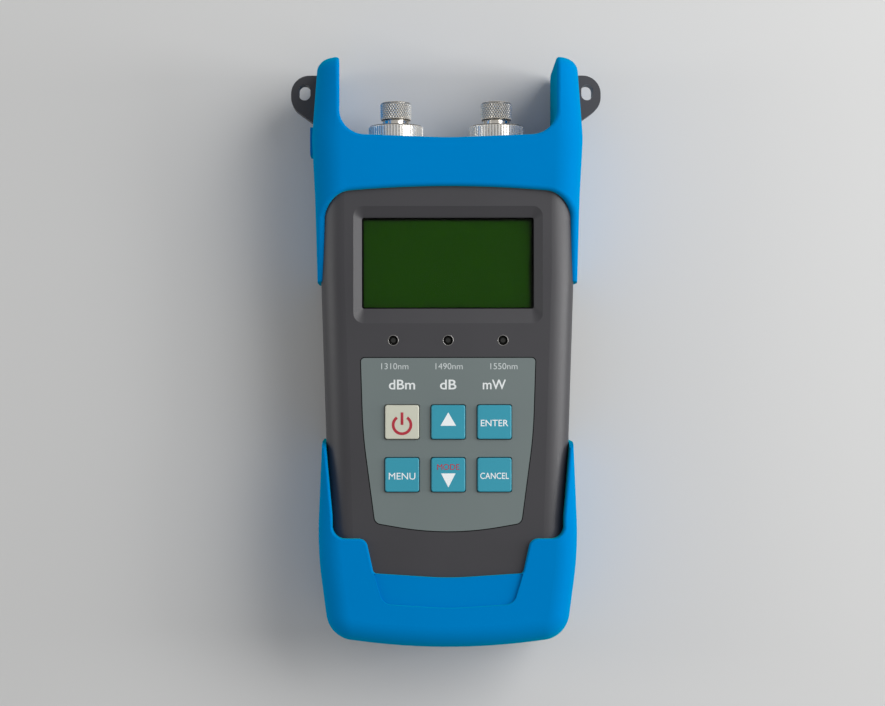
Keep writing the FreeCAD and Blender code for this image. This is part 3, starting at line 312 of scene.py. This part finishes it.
def pick(piece, kind, test):
    """In edit mode, selects the corners that pass the test, or the edges or faces that do.

    The test gets a corner's place, or the list of the places of all the item's corners.
    """
    bpy.ops.object.mode_set(mode="EDIT")
    bpy.ops.mesh.select_mode(type=kind)
    bpy.ops.mesh.select_all(action="DESELECT")
    bpy.ops.object.mode_set(mode="OBJECT")
    corners = piece.data.vertices
    if kind == "VERT":
        for corner in corners:
            corner.select = test(corner.co)
    else:
        for item in piece.data.edges if kind == "EDGE" else piece.data.polygons:
            item.select = test([corners[order].co for order in item.vertices])
    bpy.ops.object.mode_set(mode="EDIT")


def finish_mesh(piece, material, angle=35):
    """Joins seams, turns the faces outwards, smooths up to an angle and adds the finish."""
    work_on(piece)
    bpy.ops.object.mode_set(mode="EDIT")
    bpy.ops.mesh.select_all(action="SELECT")
    bpy.ops.mesh.remove_doubles(threshold=MESH_SEAM)
    bpy.ops.mesh.normals_make_consistent(inside=False)
    bpy.ops.object.mode_set(mode="OBJECT")
    bpy.ops.object.shade_smooth_by_angle(angle=math.radians(angle))
    piece.data.materials.clear()
    piece.data.materials.append(material)


boot_low, boot_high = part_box("top_boot")
horned = joined_copy("top_boot", "horned_boot")


def in_bay(corner):
    """True for the corners of the bay's own floor and walls and of their softened rim."""
    lean = BAY_LEAN * (1 - corner.z / boot_high.z)
    return corner.y + lean > BAY_EDGE and abs(corner.x) - lean < HORN_EDGE


pick(horned, "VERT", lambda corner: in_bay(corner) and abs(corner.x) < FLOOR_END)
bpy.ops.transform.translate(value=(0, FLOOR_UP, 0))
pick(
    horned,
    "VERT",
    lambda corner: in_bay(corner) and abs(corner.x) >= FLOOR_END and corner.y < BAY_CORNER_TOP,
)
bpy.ops.transform.translate(value=(0, CORNER_UP, 0))
for side, outer in ((-1, boot_low.x), (1, boot_high.x)):
    pick(horned, "VERT", lambda corner: side * corner.x > FLOOR_END and corner.y > BAY_EDGE)
    bpy.ops.transform.resize(value=(HORN_SWELL, 1, 1), center_override=(outer, 0, 0))
bpy.ops.object.mode_set(mode="OBJECT")
finish_mesh(horned, boot_rubber, BOOT_SMOOTH)
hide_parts("top_boot")
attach(horned, "meter")

# The display is a green liquid crystal glass over a light box, printed with a black rim.
# It lies deep in its opening. The shadow of the opening's edge is painted onto the green as a dark
# fade from the rim, widest at the right and the top.
GLASS_GREEN = (0.0105, 0.0470, 0.0022, 1)
GLASS_PALE = (0.0125, 0.0540, 0.0028, 1)
# Near black of the printed rim, also used for the painted shadow of the opening's edge.
RIM_BLACK_AND_SHADOW = (0.0012, 0.0016, 0.0010, 1)
GLASS_SHINE = 0.03
GLASS_ROUGH_LOW = 0.16
GLASS_ROUGH_HIGH = 0.30
GLASS_CLOUDS_PER_M = 40
WINDOW_LAP = 1.7 * MM
lcd_glass = plain_material("liquid_crystal_glass", GLASS_GREEN, GLASS_ROUGH_LOW)
tree, shader = lcd_glass.node_tree, shader_of(lcd_glass)
shader.inputs["Specular IOR Level"].default_value = GLASS_SHINE
panel_low, panel_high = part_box("lcd_panel")
where = own_place(tree)
split = tree.nodes.new("ShaderNodeSeparateXYZ")
tree.links.new(where, split.inputs["Vector"])
shown = 1.0
# For each side: where the rim starts, which way is inwards, the printed rim's width, and the width
# of the painted shadow that fades from it over the green.
for axis, rim_start, inwards, rim_width, shadow_fade_width in (
    ("X", panel_low.x + WINDOW_LAP, 1, 0.45 * MM, 0.5 * MM),
    ("X", panel_high.x - WINDOW_LAP, -1, 0.3 * MM, 1.9 * MM),
    ("Y", panel_low.y + WINDOW_LAP, 1, 0.3 * MM, 0.4 * MM),
    ("Y", panel_high.y - WINDOW_LAP, -1, 0.5 * MM, 1.0 * MM),
):
    black_to = rim_start + inwards * rim_width
    green_from = rim_start + inwards * (rim_width + shadow_fade_width)
    clear = ranged(tree, split.outputs[axis], 0, 1, black_to, green_from, "SMOOTHSTEP")
    shown = reckoned(tree, "MULTIPLY", shown, clear)
clouds = noise(tree, where, GLASS_CLOUDS_PER_M)
green = mixed(tree, clouds, GLASS_GREEN, GLASS_PALE)
tree.links.new(mixed(tree, shown, RIM_BLACK_AND_SHADOW, green), shader.inputs["Base Color"])
tree.links.new(ranged(tree, clouds, GLASS_ROUGH_LOW, GLASS_ROUGH_HIGH), shader.inputs["Roughness"])
dress(("lcd_panel",), lcd_glass)

# A clear acrylic window, pressed into the front shell from inside, keeps dust off the
# glass. It has a matt anti-glare face that carries a few specks and hairlines.
WINDOW_IOR = 1.12
WINDOW_SHINE = 0.3
HAIRS_PER_M = 700
HAIR_STARTS = 0.60
HAIR_FULL = 0.80
WINDOW_ROUGH_LOW = 0.03
WINDOW_ROUGH_HIGH = 0.14
HAIR_STRENGTH = 0.1
HAIR_DEPTH = 0.005 * MM
window_acrylic = plain_material("window_acrylic", (1, 1, 1, 1), WINDOW_ROUGH_LOW)
tree, shader = window_acrylic.node_tree, shader_of(window_acrylic)
shader.inputs["Transmission Weight"].default_value = 1.0
shader.inputs["IOR"].default_value = WINDOW_IOR
shader.inputs["Specular IOR Level"].default_value = WINDOW_SHINE
hairs = noise(tree, own_place(tree), HAIRS_PER_M, 4)
haze = ranged(tree, hairs, WINDOW_ROUGH_LOW, WINDOW_ROUGH_HIGH, HAIR_STARTS, HAIR_FULL)
tree.links.new(haze, shader.inputs["Roughness"])
bumped(window_acrylic, hairs, HAIR_STRENGTH, HAIR_DEPTH)
dress(("lcd_window",), window_acrylic)

# The light box behind the glass is a white moulding. It spreads the light of small lamps
# at its edge and is held between the glass and the board.
light_diffuser = moulded(
    "light_box_diffuser", (0.7, 0.72, 0.66, 1), (0.76, 0.78, 0.72, 1), 0.5, 0.6, 1500, 0.02 * MM
)
dress(("backlight",), light_diffuser)

# The indicator lamps are smoky clear diodes that stand in three holes of the front shell.
# Resin shrinks a little as it sets, so their skin is slightly wavy.
lamp_resin = moulded(
    "smoky_lamp_resin",
    (0.012, 0.012, 0.011, 1),
    (0.022, 0.022, 0.020, 1),
    0.06,
    0.12,
    900,
    0.01 * MM,
    scuff=0,
)
dress(("indicator_left", "indicator_middle", "indicator_right"), lamp_resin)

# A thin bright grommet lines each lamp hole: a spun nickel ring with a rounded lip, which
# is pressed in from the front.
GROMMET_GREY = (0.40, 0.39, 0.38, 1)
GROMMET_DULL = (0.30, 0.29, 0.28, 1)
GROMMET_ROUND = 48
GROMMET_OUTER = 1.78 * MM
GROMMET_PROUD = 0.10 * MM
GROMMET_SUNK = 0.02 * MM
GROMMET_DEEP = 0.30 * MM
GROMMET_SMOOTH = 60
WALL_SHARE = 0.6
LIP_STEPS = ((0.05 * MM, 1 - WALL_SHARE), (0.11 * MM, 0), (0.06 * MM, WALL_SHARE - 1))
TARNISH_PER_M = 260
PLATING_STRENGTH = 0.25
PLATING_DEPTH = 0.006 * MM
RING_WAVER = 0.6


def plated(name, colour, dull, rough_low, rough_high, rings=0.0):
    """Plated metal: a polish that clouds a little, with fine turning rings if asked for."""
    made = plain_material(name, colour, rough_low)
    tree, shader = made.node_tree, shader_of(made)
    shader.inputs["Metallic"].default_value = 1.0
    where = own_place(tree)
    clouds = noise(tree, where, TARNISH_PER_M, 5)
    tree.links.new(mixed(tree, clouds, colour, dull), shader.inputs["Base Color"])
    tree.links.new(ranged(tree, clouds, rough_low, rough_high), shader.inputs["Roughness"])
    height = clouds
    if rings:
        turned = tree.nodes.new("ShaderNodeTexWave")
        turned.bands_direction = "Y"
        turned.inputs["Scale"].default_value = rings
        turned.inputs["Distortion"].default_value = RING_WAVER
        tree.links.new(where, turned.inputs["Vector"])
        height = turned.outputs["Fac"]
    bumped(made, height, PLATING_STRENGTH, PLATING_DEPTH)
    return made


def place_at(piece, place):
    """Puts a finished piece at its place and leaves its origin at the middle of the frame."""
    work_on(piece)
    piece.location = place
    bpy.ops.object.transform_apply(location=True, rotation=True, scale=True)


def raised(rise):
    """Extrudes what is selected upwards."""
    bpy.ops.mesh.extrude_region_move(TRANSFORM_OT_translate={"value": (0, 0, rise)})


def narrowed(radius, inset):
    """Draws the selected ring in and says its new radius."""
    share = (radius - inset) / radius
    bpy.ops.transform.resize(value=(share, share, 1))
    return radius - inset


grommet_nickel = plated("grommet_nickel", GROMMET_GREY, GROMMET_DULL, 0.26, 0.38)
deselect()
bpy.ops.mesh.primitive_circle_add(vertices=GROMMET_ROUND, radius=GROMMET_OUTER)
grommet = bpy.context.object
bpy.ops.object.mode_set(mode="EDIT")
bpy.ops.mesh.select_all(action="SELECT")
bpy.ops.transform.translate(value=(0, 0, -GROMMET_SUNK))
raised(GROMMET_SUNK + WALL_SHARE * GROMMET_PROUD)
radius = GROMMET_OUTER
for inset, share in LIP_STEPS:
    raised(share * GROMMET_PROUD)
    radius = narrowed(radius, inset)
raised(-GROMMET_DEEP)
bpy.ops.object.mode_set(mode="OBJECT")
finish_mesh(grommet, grommet_nickel, GROMMET_SMOOTH)
face_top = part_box("keypad_label")[1].z
for side in ("left", "middle", "right"):
    low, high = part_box("indicator_" + side)
    twin = copied(grommet, "lamp_grommet_" + side)
    place_at(twin, ((low.x + high.x) / 2, (low.y + high.y) / 2, face_top))
    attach(twin, "meter")
bpy.data.objects.remove(grommet)

# The label is a printed polyester sheet stuck in a shallow pocket of the front shell,
# printed from behind in grey-green, with a fine leathery face.
LABEL_GREY = (0.128, 0.158, 0.157, 1)
LABEL_PALE = (0.146, 0.178, 0.175, 1)
label_film = moulded(
    "printed_label_film", LABEL_GREY, LABEL_PALE, 0.36, 0.44, 5200, 0.006 * MM
)
dress(("keypad_label",), label_film)

# The sheet laps over the rim of its pocket by about half a millimetre. The shadow in the gap round
# its outline is painted on in near black, so a thin painted shadow line runs round the label but
# not round the keys.
GAP_SHADOW_WIDTH = 0.30 * MM
LABEL_LAP = (1.019, 1.017, 1)
LABEL_UP = 0.15 * MM
LABEL_PROUD = 0.03 * MM
KEY_MARGIN = 1.0 * MM
GAP_SHADOW_BLACK = (0.003, 0.003, 0.003, 1)
GAP_SHADOW_CLOUDED = (0.006, 0.006, 0.006, 1)
GAP_SHADOW_SHINE = 0.03
FLAT_WITHIN = 0.02 * MM
label_low, label_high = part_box("keypad_label")
label_top = label_high.z + LABEL_PROUD
key_boxes = [
    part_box("key_" + kind) for kind in ("power", "up", "enter", "menu", "down", "cancel")
]
label_with_gap_shadow = joined_copy("keypad_label", "label_shadow_edged")
bpy.ops.object.mode_set(mode="EDIT")
bpy.ops.mesh.select_all(action="SELECT")
bpy.ops.transform.translate(value=(0, 0, LABEL_PROUD))
bpy.ops.object.mode_set(mode="OBJECT")
finish_mesh(label_with_gap_shadow, label_film)
# Painted shadow of the gap round the label: a near black paint for the rim faces of the label's
# top.
gap_shadow_paint = moulded("painted_gap_shadow", GAP_SHADOW_BLACK, GAP_SHADOW_CLOUDED, 0.45, 0.55, 1500, 0.01 * MM)
shader_of(gap_shadow_paint).inputs["Specular IOR Level"].default_value = GAP_SHADOW_SHINE
label_with_gap_shadow.data.materials.append(gap_shadow_paint)


def by_key(place):
    """True beside or inside one of the keys' openings."""
    return any(
        low.x - KEY_MARGIN < place.x < high.x + KEY_MARGIN
        and low.y - KEY_MARGIN < place.y < high.y + KEY_MARGIN
        for low, high in key_boxes
    )


def on_top(corners):
    """True for a face that lies in the label's upper side."""
    return min(corner.z for corner in corners) > label_top - FLAT_WITHIN


pick(label_with_gap_shadow, "FACE", on_top)
bpy.ops.mesh.inset(thickness=GAP_SHADOW_WIDTH, use_boundary=True)
bpy.ops.object.mode_set(mode="OBJECT")
# The rim faces of the top, away from the keys, get the painted gap shadow.
for face in label_with_gap_shadow.data.polygons:
    corners = [label_with_gap_shadow.data.vertices[order].co for order in face.vertices]
    face.select = on_top(corners) and not face.select and not by_key(face.center)
label_with_gap_shadow.active_material_index = 1
bpy.ops.object.mode_set(mode="EDIT")
bpy.ops.object.material_slot_assign()
pick(label_with_gap_shadow, "VERT", lambda corner: not by_key(corner))
bpy.ops.transform.resize(value=LABEL_LAP, center_override=(label_low + label_high) / 2)
bpy.ops.transform.translate(value=(0, LABEL_UP, 0))
bpy.ops.object.mode_set(mode="OBJECT")
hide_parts("keypad_label")
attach(label_with_gap_shadow, "meter")

# The lettering is screen printed ink, a few hundredths of a millimetre thick. Only the
# wavelengths, the units and the names of the keys are printed.
INK_PROUD = 0.035 * MM
INK_SUNK = 0.015 * MM
INK_THICK = INK_PROUD + INK_SUNK
INK_MIDDLE = (INK_PROUD - INK_SUNK) / 2
WAVE_ROW = -4.5 * MM
WAVE_WIDTH = 8.9 * MM
WAVE_HEIGHT = 2.0 * MM
WAVE_BOLD = -0.004
UNIT_ROW = -10.5 * MM
UNIT_HEIGHT = 3.2 * MM
UNIT_BOLD = 0.012
LETTER_DEPTH = 0.05
LETTER_CURVES = 6


def printed(name, words, across, along, width, height, level, body, ink, bold=0.0):
    """Words in ink, fitted to a width and a height, on a level of one body."""
    deselect()
    bpy.ops.object.text_add()
    text = bpy.context.object
    text.data.body = words
    text.data.offset = bold
    text.data.extrude = LETTER_DEPTH
    text.data.resolution_u = LETTER_CURVES
    bpy.ops.object.convert(target="MESH")
    text.name = name
    corners = [vertex.co for vertex in text.data.vertices]
    low = Vector([min(corner[axis] for corner in corners) for axis in range(3)])
    high = Vector([max(corner[axis] for corner in corners) for axis in range(3)])
    middle = (low + high) / 2
    text.scale = (
        width / (high.x - low.x),
        height / (high.y - low.y),
        INK_THICK / (high.z - low.z),
    )
    place_at(
        text,
        (
            across - middle.x * text.scale.x,
            along - middle.y * text.scale.y,
            level + INK_MIDDLE - middle.z * text.scale.z,
        ),
    )
    finish_mesh(text, ink)
    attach(text, body)
    return text


label_ink = moulded(
    "pale_ink", (0.50, 0.54, 0.54, 1), (0.58, 0.62, 0.62, 1), 0.42, 0.52, 4000, 0.004 * MM
)
unit_ink = moulded(
    "white_ink", (0.66, 0.69, 0.69, 1), (0.74, 0.77, 0.77, 1), 0.42, 0.52, 4000, 0.004 * MM
)
for name, words, across in (
    ("print_1310", "1310nm", -17.5),
    ("print_1490", "1490nm", 0.3),
    ("print_1550", "1550nm", 18.3),
):
    printed(
        name,
        words,
        across * MM,
        WAVE_ROW,
        WAVE_WIDTH,
        WAVE_HEIGHT,
        label_top,
        "meter",
        label_ink,
        WAVE_BOLD,
    )
for name, words, across, width in (
    ("print_dbm", "dBm", -15.15, 8.6),
    ("print_db", "dB", 0.0, 5.4),
    ("print_mw", "mW", 15.15, 7.6),
):
    printed(
        name,
        words,
        across * MM,
        UNIT_ROW,
        width * MM,
        UNIT_HEIGHT,
        label_top,
        "meter",
        unit_ink,
        UNIT_BOLD,
    )

# The keys are moulded caps bonded to a silicone mat, five in teal and the power key in
# cream. Their tops are a little shiny from fingers.
KEY_TEAL = (0.022, 0.262, 0.360, 1)
KEY_TEAL_RUBBED = (0.030, 0.292, 0.395, 1)
KEY_CREAM = (0.520, 0.525, 0.430, 1)
KEY_CREAM_RUBBED = (0.570, 0.575, 0.480, 1)
key_teal = moulded(
    "teal_key_plastic", KEY_TEAL, KEY_TEAL_RUBBED, 0.32, 0.42, 3000, 0.01 * MM
)
key_cream = moulded(
    "cream_key_plastic", KEY_CREAM, KEY_CREAM_RUBBED, 0.32, 0.42, 3000, 0.01 * MM
)
dress(("key_up", "key_enter", "key_menu", "key_down", "key_cancel"), key_teal)
dress(("key_power",), key_cream)
key_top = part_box("key_enter")[1].z
key_ink = moulded(
    "white_key_ink", (0.74, 0.78, 0.79, 1), (0.82, 0.86, 0.87, 1), 0.42, 0.52, 4000, 0.004 * MM
)
red_ink = moulded(
    "red_key_ink", (0.36, 0.012, 0.030, 1), (0.42, 0.018, 0.038, 1), 0.42, 0.52, 4000, 0.004 * MM
)
for name, words, across, along, width, height, body, ink, bold in (
    ("legend_enter", "ENTER", 15.15, -23.1, 9.0, 2.1, "key_enter", key_ink, 0.005),
    ("legend_menu", "MENU", -15.15, -40.5, 8.7, 2.2, "key_menu", key_ink, 0.0),
    ("legend_cancel", "CANCEL", 15.15, -40.4, 9.4, 2.05, "key_cancel", key_ink, 0.005),
    ("legend_mode", "MODE", 0.0, -37.5, 7.3, 1.9, "key_down", red_ink, 0.0),
):
    printed(name, words, across * MM, along * MM, width * MM, height * MM, key_top, body, ink, bold)

# The arrows of the up and down keys are printed in the same white ink: a flat triangle,
# given the thickness of the ink.
TRIANGLE_WIDE = math.sqrt(3)
TRIANGLE_TALL = 1.5
TRIANGLE_FOOT = 0.5
ARROWS = (
    ("legend_up_arrow", "key_up", 5.1 * MM, -24.0 * MM, -19.6 * MM),
    ("legend_down_arrow", "key_down", 4.75 * MM, -39.6 * MM, -44.2 * MM),
)
for name, body, width, base, point in ARROWS:
    deselect()
    bpy.ops.mesh.primitive_circle_add(vertices=3, radius=1, fill_type="NGON")
    arrow = bpy.context.object
    arrow.name = name
    bpy.ops.object.mode_set(mode="EDIT")
    bpy.ops.mesh.select_all(action="SELECT")
    bpy.ops.transform.translate(value=(0, TRIANGLE_FOOT, -INK_SUNK))
    bpy.ops.transform.resize(value=(width / TRIANGLE_WIDE, (point - base) / TRIANGLE_TALL, 1))
    raised(INK_THICK)
    bpy.ops.object.mode_set(mode="OBJECT")
    heights = [vertex.co.y for vertex in arrow.data.vertices]
    foot = min(heights) if point > base else max(heights)
    place_at(arrow, (0, base - foot, key_top))
    finish_mesh(arrow, key_ink)
    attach(arrow, body)

# The power key carries the usual sign in red ink: a ring that is open at the top, swept
# from a small upright rectangle, and a bar with broken edges.
SIGN_RADIUS = 2.9 * MM
SIGN_LINE = 0.92 * MM
SIGN_GAP = math.radians(70)
SIGN_STEPS = 44
SIGN_BREAK = 0.1 * MM
BAR_LONG = 4.1 * MM
SIGN_PLACE = Vector((-15.15 * MM, -23.7 * MM, key_top))
deselect()
bpy.ops.mesh.primitive_plane_add(size=1)
sign = bpy.context.object
sign.name = "legend_power_sign"
bpy.ops.object.mode_set(mode="EDIT")
bpy.ops.mesh.select_all(action="SELECT")
bpy.ops.transform.rotate(value=math.pi / 2, orient_axis="X", center_override=(0, 0, 0))
bpy.ops.transform.resize(value=(SIGN_LINE, 1, INK_THICK))
bpy.ops.transform.translate(value=(SIGN_RADIUS, 0, INK_MIDDLE))
bpy.ops.transform.rotate(
    value=-math.pi / 2 + SIGN_GAP / 2, orient_axis="Z", center_override=(0, 0, 0)
)
bpy.ops.mesh.spin(
    steps=SIGN_STEPS, angle=2 * math.pi - SIGN_GAP, center=(0, 0, 0), axis=(0, 0, 1)
)
bpy.ops.object.mode_set(mode="OBJECT")
deselect()
bpy.ops.mesh.primitive_cube_add(size=1)
bar = bpy.context.object
bpy.ops.object.mode_set(mode="EDIT")
bpy.ops.mesh.select_all(action="SELECT")
bpy.ops.transform.resize(value=(SIGN_LINE, BAR_LONG, INK_THICK))
bpy.ops.transform.translate(value=(0, BAR_LONG / 2, INK_MIDDLE))
bpy.ops.mesh.bevel(offset=SIGN_BREAK, segments=2, affect="EDGES", clamp_overlap=True)
bpy.ops.object.mode_set(mode="OBJECT")
sign.select_set(True)
bpy.context.view_layer.objects.active = sign
bpy.ops.object.join()
place_at(sign, SIGN_PLACE)
finish_mesh(sign, red_ink)
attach(sign, "key_power")

# The key mat is one sheet of silicone with a dome below each key. It lies on the board,
# and the front shell holds its rim down.
mat_rubber = moulded(
    "key_mat_silicone", (0.10, 0.11, 0.11, 1), (0.12, 0.13, 0.13, 1), 0.5, 0.6, 2000, 0.02 * MM
)
dress(("key_mat",), mat_rubber)

# The optical ports are turned brass, nickel plated, with fine rings left by the tool. The
# nuts are milled all round with straight grooves, whose bottoms are painted dark as shade.
NICKEL = (0.90, 0.86, 0.79, 1)
NICKEL_DULL = (0.78, 0.74, 0.67, 1)
# Painted shade at the bottom of the knurls' grooves.
GROOVE_PAINTED_SHADE = (0.050, 0.046, 0.040, 1)
NUT_GROOVE = 0.36 * MM
NUT_SHADE_SHARE = 0.62
GROOVES_REACH = 1.6
SATIN_METAL = 0.55
RINGS_PER_M = 900
nut_low, nut_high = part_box("ring_nut_right")
port_middle = (nut_low + nut_high) / 2


def grooved(name, crest, deep, share):
    """Nickel with painted shade in the grooves of a port's knurl, up to a share of their depth."""
    made = plated(name, NICKEL, NICKEL_DULL, 0.20, 0.34)
    tree, shader = made.node_tree, shader_of(made)
    shader.inputs["Metallic"].default_value = SATIN_METAL
    tone = shader.inputs["Base Color"].links[0].from_socket
    split = tree.nodes.new("ShaderNodeSeparateXYZ")
    tree.links.new(own_place(tree), split.inputs["Vector"])
    either_side = reckoned(tree, "ABSOLUTE", split.outputs["X"])
    away = tree.nodes.new("ShaderNodeCombineXYZ")
    tree.links.new(reckoned(tree, "SUBTRACT", either_side, port_middle.x), away.inputs["X"])
    tree.links.new(reckoned(tree, "SUBTRACT", split.outputs["Z"], port_middle.z), away.inputs["Y"])
    length = tree.nodes.new("ShaderNodeVectorMath")
    length.operation = "LENGTH"
    tree.links.new(away.outputs["Vector"], length.inputs[0])
    radius = length.outputs["Value"]
    height = ranged(tree, radius, 0, 1, crest - deep, crest - deep * (1 - share))
    within = reckoned(tree, "LESS_THAN", radius, crest - GROOVES_REACH * deep)
    clear_of_groove_shade = reckoned(tree, "MAXIMUM", height, within)
    tree.links.new(mixed(tree, clear_of_groove_shade, GROOVE_PAINTED_SHADE, tone), shader.inputs["Base Color"])
    return made


port_nickel = plated("port_nickel", NICKEL, NICKEL_DULL, 0.14, 0.26, RINGS_PER_M)
dress(("port_barrel_left", "port_barrel_right", "adapter_left", "adapter_right"), port_nickel)
nut_nickel_groove_shaded = grooved("nut_nickel_groove_shaded", (nut_high.x - nut_low.x) / 2, NUT_GROOVE, NUT_SHADE_SHARE)
dress(("ring_nut_left", "ring_nut_right"), nut_nickel_groove_shaded)

# The dust caps have a diamond knurl rolled between a plain foot and a chamfered crown.
# One is modelled upright and copied to both ports.
KNURL_ROUND = 34
KNURL_ROWS = 4
KNURL_DEEP = 0.34 * MM
# The share of the knurl's depth that gets painted groove shade.
KNURL_SHADE_SHARE = 0.30
CAP_FOOT = 0.35 * MM
CAP_CROWN = 0.55 * MM
CAP_BORE = 4.03 * MM
CAP_FLOOR = 1.0 * MM
CAP_BREAK = 0.1 * MM
COLLAR_OUT = 0.08 * MM
COLLAR_RISE = 0.06 * MM
COLLAR_LONG = 0.10 * MM
CAP_SMOOTH = 12
RIM_WITHIN = 0.01 * MM
RIM_SHARE = 0.9
chamfer = CAP_CROWN - COLLAR_RISE - COLLAR_LONG
cap_low, cap_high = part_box("dust_cap_left")
cap_radius = (cap_high.x - cap_low.x) / 2
cap_long = cap_high.y - cap_low.y
knurl_long = cap_long - CAP_FOOT - CAP_CROWN
knurl_foot = cap_radius - KNURL_DEEP
deselect()
bpy.ops.mesh.primitive_cylinder_add(
    vertices=KNURL_ROUND,
    radius=knurl_foot,
    depth=knurl_long,
    end_fill_type="NOTHING",
    location=(0, 0, CAP_FOOT + knurl_long / 2),
)
cap = bpy.context.object
bpy.ops.object.transform_apply(location=True, rotation=True, scale=True)
pick(cap, "EDGE", lambda ends: abs(ends[0].z - ends[1].z) > knurl_long / 2)
bpy.ops.mesh.subdivide(number_cuts=KNURL_ROWS - 1)
bpy.ops.object.mode_set(mode="OBJECT")
grid_corners = len(cap.data.vertices)
bpy.ops.object.mode_set(mode="EDIT")
bpy.ops.mesh.select_all(action="SELECT")
bpy.ops.mesh.poke()
bpy.ops.mesh.select_mode(type="EDGE")
bpy.ops.mesh.select_all(action="DESELECT")
bpy.ops.object.mode_set(mode="OBJECT")
for edge in cap.data.edges:
    edge.select = max(edge.vertices) < grid_corners
bpy.ops.object.mode_set(mode="EDIT")
bpy.ops.mesh.dissolve_edges(use_verts=False)
bpy.ops.mesh.select_all(action="SELECT")
bpy.ops.mesh.poke(offset=KNURL_DEEP)
for end, steps in (
    (CAP_FOOT, ((0, CAP_BREAK - CAP_FOOT), (CAP_BREAK, -CAP_BREAK))),
    (CAP_FOOT + knurl_long, ((-COLLAR_OUT, COLLAR_RISE), (0, COLLAR_LONG), (chamfer, chamfer))),
):
    pick(
        cap,
        "EDGE",
        lambda ends: all(
            abs(corner.z - end) < RIM_WITHIN
            and corner.xy.length < cap_radius - RIM_SHARE * KNURL_DEEP
            for corner in ends
        ),
    )
    radius = knurl_foot
    for inset, rise in steps:
        raised(rise)
        radius = narrowed(radius, inset)
    if end == CAP_FOOT:
        bpy.ops.mesh.extrude_region_move()
        narrowed(radius, radius - CAP_BORE)
        raised(cap_long - CAP_FLOOR)
    bpy.ops.mesh.edge_face_add()
bpy.ops.object.mode_set(mode="OBJECT")
# The cap's knurl gets painted shade in its grooves too.
finish_mesh(cap, grooved("cap_nickel_groove_shaded", cap_radius, KNURL_DEEP, KNURL_SHADE_SHARE), CAP_SMOOTH)
cap.rotation_euler = (-math.pi / 2, 0, 0)
place_at(cap, (0, 0, 0))
for side in ("left", "right"):
    low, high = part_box("dust_cap_" + side)
    twin = copied(cap, "knurled_cap_" + side)
    place_at(twin, ((low.x + high.x) / 2, low.y, (low.z + high.z) / 2))
    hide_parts("dust_cap_" + side)
    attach(twin, "dust_cap_" + side)
bpy.data.objects.remove(cap)

# Inside the ports sit the plated detector cans, and each cap holds a soft black disc that
# seals the ferrule.
detector_can = plated(
    "detector_can", (0.58, 0.50, 0.36, 1), (0.48, 0.42, 0.31, 1), 0.2, 0.34, 700
)
dress(("detector_left", "detector_right"), detector_can)
seal_rubber = moulded(
    "seal_rubber", (0.020, 0.020, 0.020, 1), (0.030, 0.030, 0.030, 1), 0.6, 0.7, 3000, 0.01 * MM
)
dress(("cap_seal_left", "cap_seal_right"), seal_rubber)

# Power: a black moulded tray, nickel strips, and four cells in a printed jacket.
tray_plastic = moulded(
    "battery_tray_abs",
    (0.022, 0.022, 0.023, 1),
    (0.030, 0.030, 0.032, 1),
    0.45,
    0.55,
    2600,
    0.02 * MM,
)
dress(("battery_tray",), tray_plastic)
contact_strip = plated(
    "contact_strip", (0.60, 0.60, 0.58, 1), (0.50, 0.50, 0.48, 1), 0.22, 0.36
)
dress(("battery_contacts",), contact_strip)
cell_jacket = moulded(
    "cell_jacket", (0.09, 0.16, 0.12, 1), (0.11, 0.19, 0.14, 1), 0.28, 0.38, 1800, 0.01 * MM
)
dress(["battery_cell_" + str(order) for order in (1, 2, 3, 4)], cell_jacket)

# The board carries a green solder mask over woven glass cloth, and the screws, the
# splitter's metal box and the round buzzer sit on it.
board_mask = moulded(
    "solder_mask", (0.012, 0.095, 0.036, 1), (0.016, 0.125, 0.048, 1), 0.25, 0.35, 900, 0.02 * MM
)
dress(("main_board",), board_mask)
screw_zinc = plated("screw_zinc", (0.30, 0.30, 0.31, 1), (0.22, 0.22, 0.23, 1), 0.26, 0.40)
dress(("board_screws", "case_screws"), screw_zinc)
module_shell = plated(
    "module_aluminium", (0.48, 0.48, 0.50, 1), (0.40, 0.40, 0.42, 1), 0.32, 0.46
)
dress(("splitter_module",), module_shell)
buzzer_plastic = moulded(
    "buzzer_plastic",
    (0.014, 0.014, 0.014, 1),
    (0.020, 0.020, 0.020, 1),
    0.30,
    0.40,
    2000,
    0.01 * MM,
)
dress(("buzzer",), buzzer_plastic)
